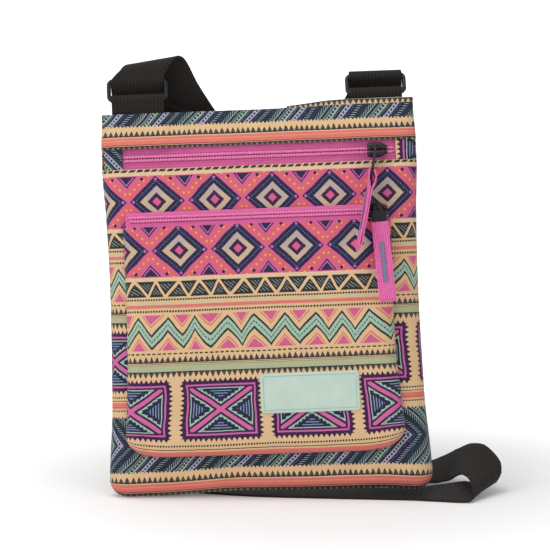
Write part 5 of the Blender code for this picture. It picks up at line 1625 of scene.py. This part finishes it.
def label_outline(inset):
    """The patch's rounded edge, drawn in by an inset, as (across, up) points."""
    count = 6
    half_wide, half_high = LABEL_WIDTH / 2 - inset, LABEL_HEIGHT / 2 - inset
    radius = max(0.0002, LABEL_CORNER - inset)
    points = []
    for corner, (sx, sz) in enumerate(((1, 1), (-1, 1), (-1, -1), (1, -1))):
        for i in range(count + 1):
            angle = math.pi / 2 * (corner + i / count)
            points.append((sx * (half_wide - radius) + radius * math.cos(angle),
                           sz * (half_high - radius) + radius * math.sin(angle)))
    return points


def on_label(a, b, lift):
    back = -pocket_face(LABEL_AT[1]) - GAP
    return on_bag(Vector((LABEL_AT[0] + a, back - lift, LABEL_AT[1] + b)))


def label_piece(material):
    bm = new_mesh()
    levels = ((0.0, 0.0), (0.0, 0.0005), (0.00035, 0.00085), (0.0014, LABEL_THICKNESS), (0.0022, 0.00080),
              (0.0030, 0.00098), (0.0045, LABEL_THICKNESS), (0.0090, LABEL_THICKNESS))
    rings = []
    for inset, lift in levels:
        rings.append([(bm.verts.new(on_label(a, b, lift)), (a * 1000, b * 1000))
                      for a, b in label_outline(inset)])
    bands = [(first[i], first[(i + 1) % len(first)], second[(i + 1) % len(first)], second[i])
             for first, second in zip(rings, rings[1:]) for i in range(len(first))]
    for corners in bands + [rings[0][::-1], rings[-1]]:
        add_face(bm, [vert for vert, _ in corners], [mark for _, mark in corners])
    return finish_piece("label_weave", bm, material)


def stitch_row(name, points, material, length, gap, radius):
    """Short rounded stitches along a line of (point, out) pairs; each dips into the cloth at its ends."""
    bm = new_mesh()
    lengths = [0.0]
    for (a, _), (b, _) in zip(points, points[1:]):
        lengths.append(lengths[-1] + (b - a).length)

    def at(distance):
        for i in range(len(lengths) - 1):
            if distance <= lengths[i + 1]:
                part = (distance - lengths[i]) / max(1e-9, lengths[i + 1] - lengths[i])
                return points[i][0].lerp(points[i + 1][0], part), points[i][1].lerp(points[i + 1][1], part)
        return points[-1]

    start = gap / 2
    while start + length <= lengths[-1]:
        path = []
        for part, lift in ((0.0, -0.7), (0.12, 0.3), (0.5, 0.75), (0.88, 0.3), (1.0, -0.7)):
            spot, out = at(start + length * part)
            path.append(spot + out * radius * lift)
        tube_into(bm, path, radius, 6)
        start += length + gap
    return finish_piece(name, bm, material)


# The lighter colour is the painted highlight on the threads' crowns, mixed with faded dye.
label_damask = add_thread_material(
    "label weave", srgb(180, 204, 188), srgb(208, 228, 216), (0.34, 0.30), clouds=(0.08, 4.0),
    highlight_and_fade=(0.5, 0.6), contrast=(0.2, 0.9), rough=(0.15, 0.66), sheen=0.05, bump=(0.35, 0.0001))
label = label_piece(label_damask)
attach(label, "bag")
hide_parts("label_patch")
# Its lighter colour is the painted highlight on the crowns, mixed with faded dye.
green_thread = add_nylon_material("green thread", srgb(96, 140, 116), srgb(136, 176, 150), 0.6, 0.0, 0.15)
label_out = BAG_PLACE.to_3x3() @ Vector((0, -1, 0))
border = [(on_label(a, b, 0.00086), label_out) for a, b in label_outline(STITCH_INSET)]
label_stitches = stitch_row("label_stitches", border + border[:1], green_thread, 0.00120, 0.00055, 0.00015)
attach(label_stitches, "bag")


# Rings, anchors and slide
# Moulded black rectangular rings. Each hangs in an anchor, a doubled piece of the webbing sewn into the
# bag's top seam; the strap's own end is folded round the right ring and sewn down. The three-bar slide
# behind the bag sets the strap's length.
RING_CORNER = 0.0035
RING_SIDE_BAR = 0.0015
ANCHOR_HIDDEN = 0.0180


def ring_piece(label, material):
    """A round bar bent into a rectangle, a little flattened, with its mould's parting line outside."""
    place = BAG_PLACE @ ring_place(label)
    half = STRAP_WIDTH / 2 + RING_SIDE_BAR
    centres = [(half - RING_CORNER, RING_CORNER), (half - RING_CORNER, RING_SPACING - RING_CORNER),
               (RING_CORNER - half, RING_SPACING - RING_CORNER), (RING_CORNER - half, RING_CORNER)]
    bm = bmesh.new()
    loops = []
    for corner, (cx, cz) in enumerate(centres):
        for i in range(11):
            angle = math.pi / 2 * (corner - 1 + i / 10)
            outward = Vector((math.cos(angle), 0, math.sin(angle)))
            across = RING_SIDE_BAR + (RING_BAR - RING_SIDE_BAR) * abs(outward.z)
            loop = []
            for k in range(24):
                turn = 2 * math.pi * k / 24
                radius = across * (1.03 if k == 0 else 1.0)
                offset = outward * (radius * math.cos(turn)) + Vector((0, RING_BAR * math.sin(turn), 0))
                loop.append(bm.verts.new(place @ (Vector((cx, 0, cz)) + outward * RING_CORNER + offset)))
            loops.append(loop)
    skin(bm, loops, closed=True)
    return finish_piece(f"{label}_ring_moulding", bm, material)


def anchor_piece(label, material):
    """The webbing's middle line, from its sewn end up round the ring's lower bar and down again."""
    ring = RINGS[label]
    layer = GAP / 2 + STRAP_THICKNESS / 2
    top, low = BAG_HEIGHT + ring["height"], BAG_HEIGHT - ANCHOR_HIDDEN
    seam = BAG_HEIGHT + (TOP_RISE if ring["side"] > 0 else 0.0)
    outline = [(-layer, low), (-layer, seam)]
    for i in range(13):
        angle = math.radians(200 - 220 * i / 12)
        outline.append((WRAP_RADIUS * math.cos(angle), top + WRAP_RADIUS * math.sin(angle)))
    outline += [(layer, seam), (layer, low)]
    route = [(on_bag((ring["side"] * RING_OFFSET, y, z)), level_across()) for y, z in outline]
    return webbing_ribbon(f"{label}_anchor_webbing", smooth_stations(route, 0.0015), ANCHOR_WIDTH,
                          STRAP_THICKNESS, material)[0]


def slide_piece(material):
    """A flat frame with three bars across it, all edges rounded."""
    place = adjuster_place()
    bars = adjuster_levels()[1]
    inner = STRAP_WIDTH / 2 + RING_SIDE_ROOM
    outer, pitch = inner + 0.0026, 2 * ADJUSTER_BAR + ADJUSTER_SLOT
    tall = pitch + ADJUSTER_BAR
    bm = bmesh.new()
    xs = [-outer, -inner, inner, outer]
    zs = [-tall, -pitch + ADJUSTER_BAR, -ADJUSTER_BAR, ADJUSTER_BAR, pitch - ADJUSTER_BAR, tall]
    sheets = [[[bm.verts.new(place @ Vector((x, bars + side * ADJUSTER_BAR, z))) for x in xs] for z in zs]
              for side in (-1, 1)]
    filled = {(i, j) for i in range(5) for j in range(3) if j != 1 or i in (0, 2, 4)}
    for i, j in filled:
        for sheet, order in ((sheets[0], 1), (sheets[1], -1)):
            corners = [sheet[i][j], sheet[i][j + 1], sheet[i + 1][j + 1], sheet[i + 1][j]][::order]
            bm.faces.new(corners)
        for (di, dj), (a, b) in (((-1, 0), ((i, j), (i, j + 1))), ((1, 0), ((i + 1, j + 1), (i + 1, j))),
                                 ((0, -1), ((i + 1, j), (i, j))), ((0, 1), ((i, j + 1), (i + 1, j + 1)))):
            if (i + di, j + dj) not in filled:
                bm.faces.new((sheets[0][b[0]][b[1]], sheets[0][a[0]][a[1]], sheets[1][a[0]][a[1]],
                              sheets[1][b[0]][b[1]]))
    return round_edges(finish_piece("slide_moulding", bm, material), "rounded bars", 0.00095, 4, 50)


for name in RINGS:
    ring = ring_piece(name, black_moulding)
    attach(ring, f"{name}_ring")
    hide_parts(f"ring_{name}")
    anchor = anchor_piece(name, webbing)
    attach(anchor, "bag")
    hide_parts(f"strap_anchor_{name}")
slide = slide_piece(black_moulding)
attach(slide, "adjuster")
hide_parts("strap_adjuster")


# Lining
# Thin dark polyester taffeta, hung inside the panels and sewn in with the zip. Hidden in the photograph,
# it stays as modelled and gets its weave here.
def add_lining_material():
    made, tree, shader = new_material("lining taffeta")
    place = tree.nodes.new("ShaderNodeTexCoord").outputs["Object"]
    spot = scale_vector(tree, place, 1000.0)
    woven = use_group(tree, weave_group, Cloth=spot, Pitch_Across=0.3, Pitch_Along=0.3)
    fade = noise_number(tree, spot, 0.05, 3.0)
    feed(shader, Base_Color=mix_colour(tree, srgb(50, 44, 58), srgb(70, 62, 78), fade),
         Roughness=fade * 0.2 + 0.6)
    add_bump(tree, shader, woven.outputs["Height"], 0.3, 0.0001)
    return made


lining_taffeta = add_lining_material()
for node in ("lining_front", "lining_back"):
    for slot in bpy.data.objects[node].material_slots:
        slot.material = lining_taffeta
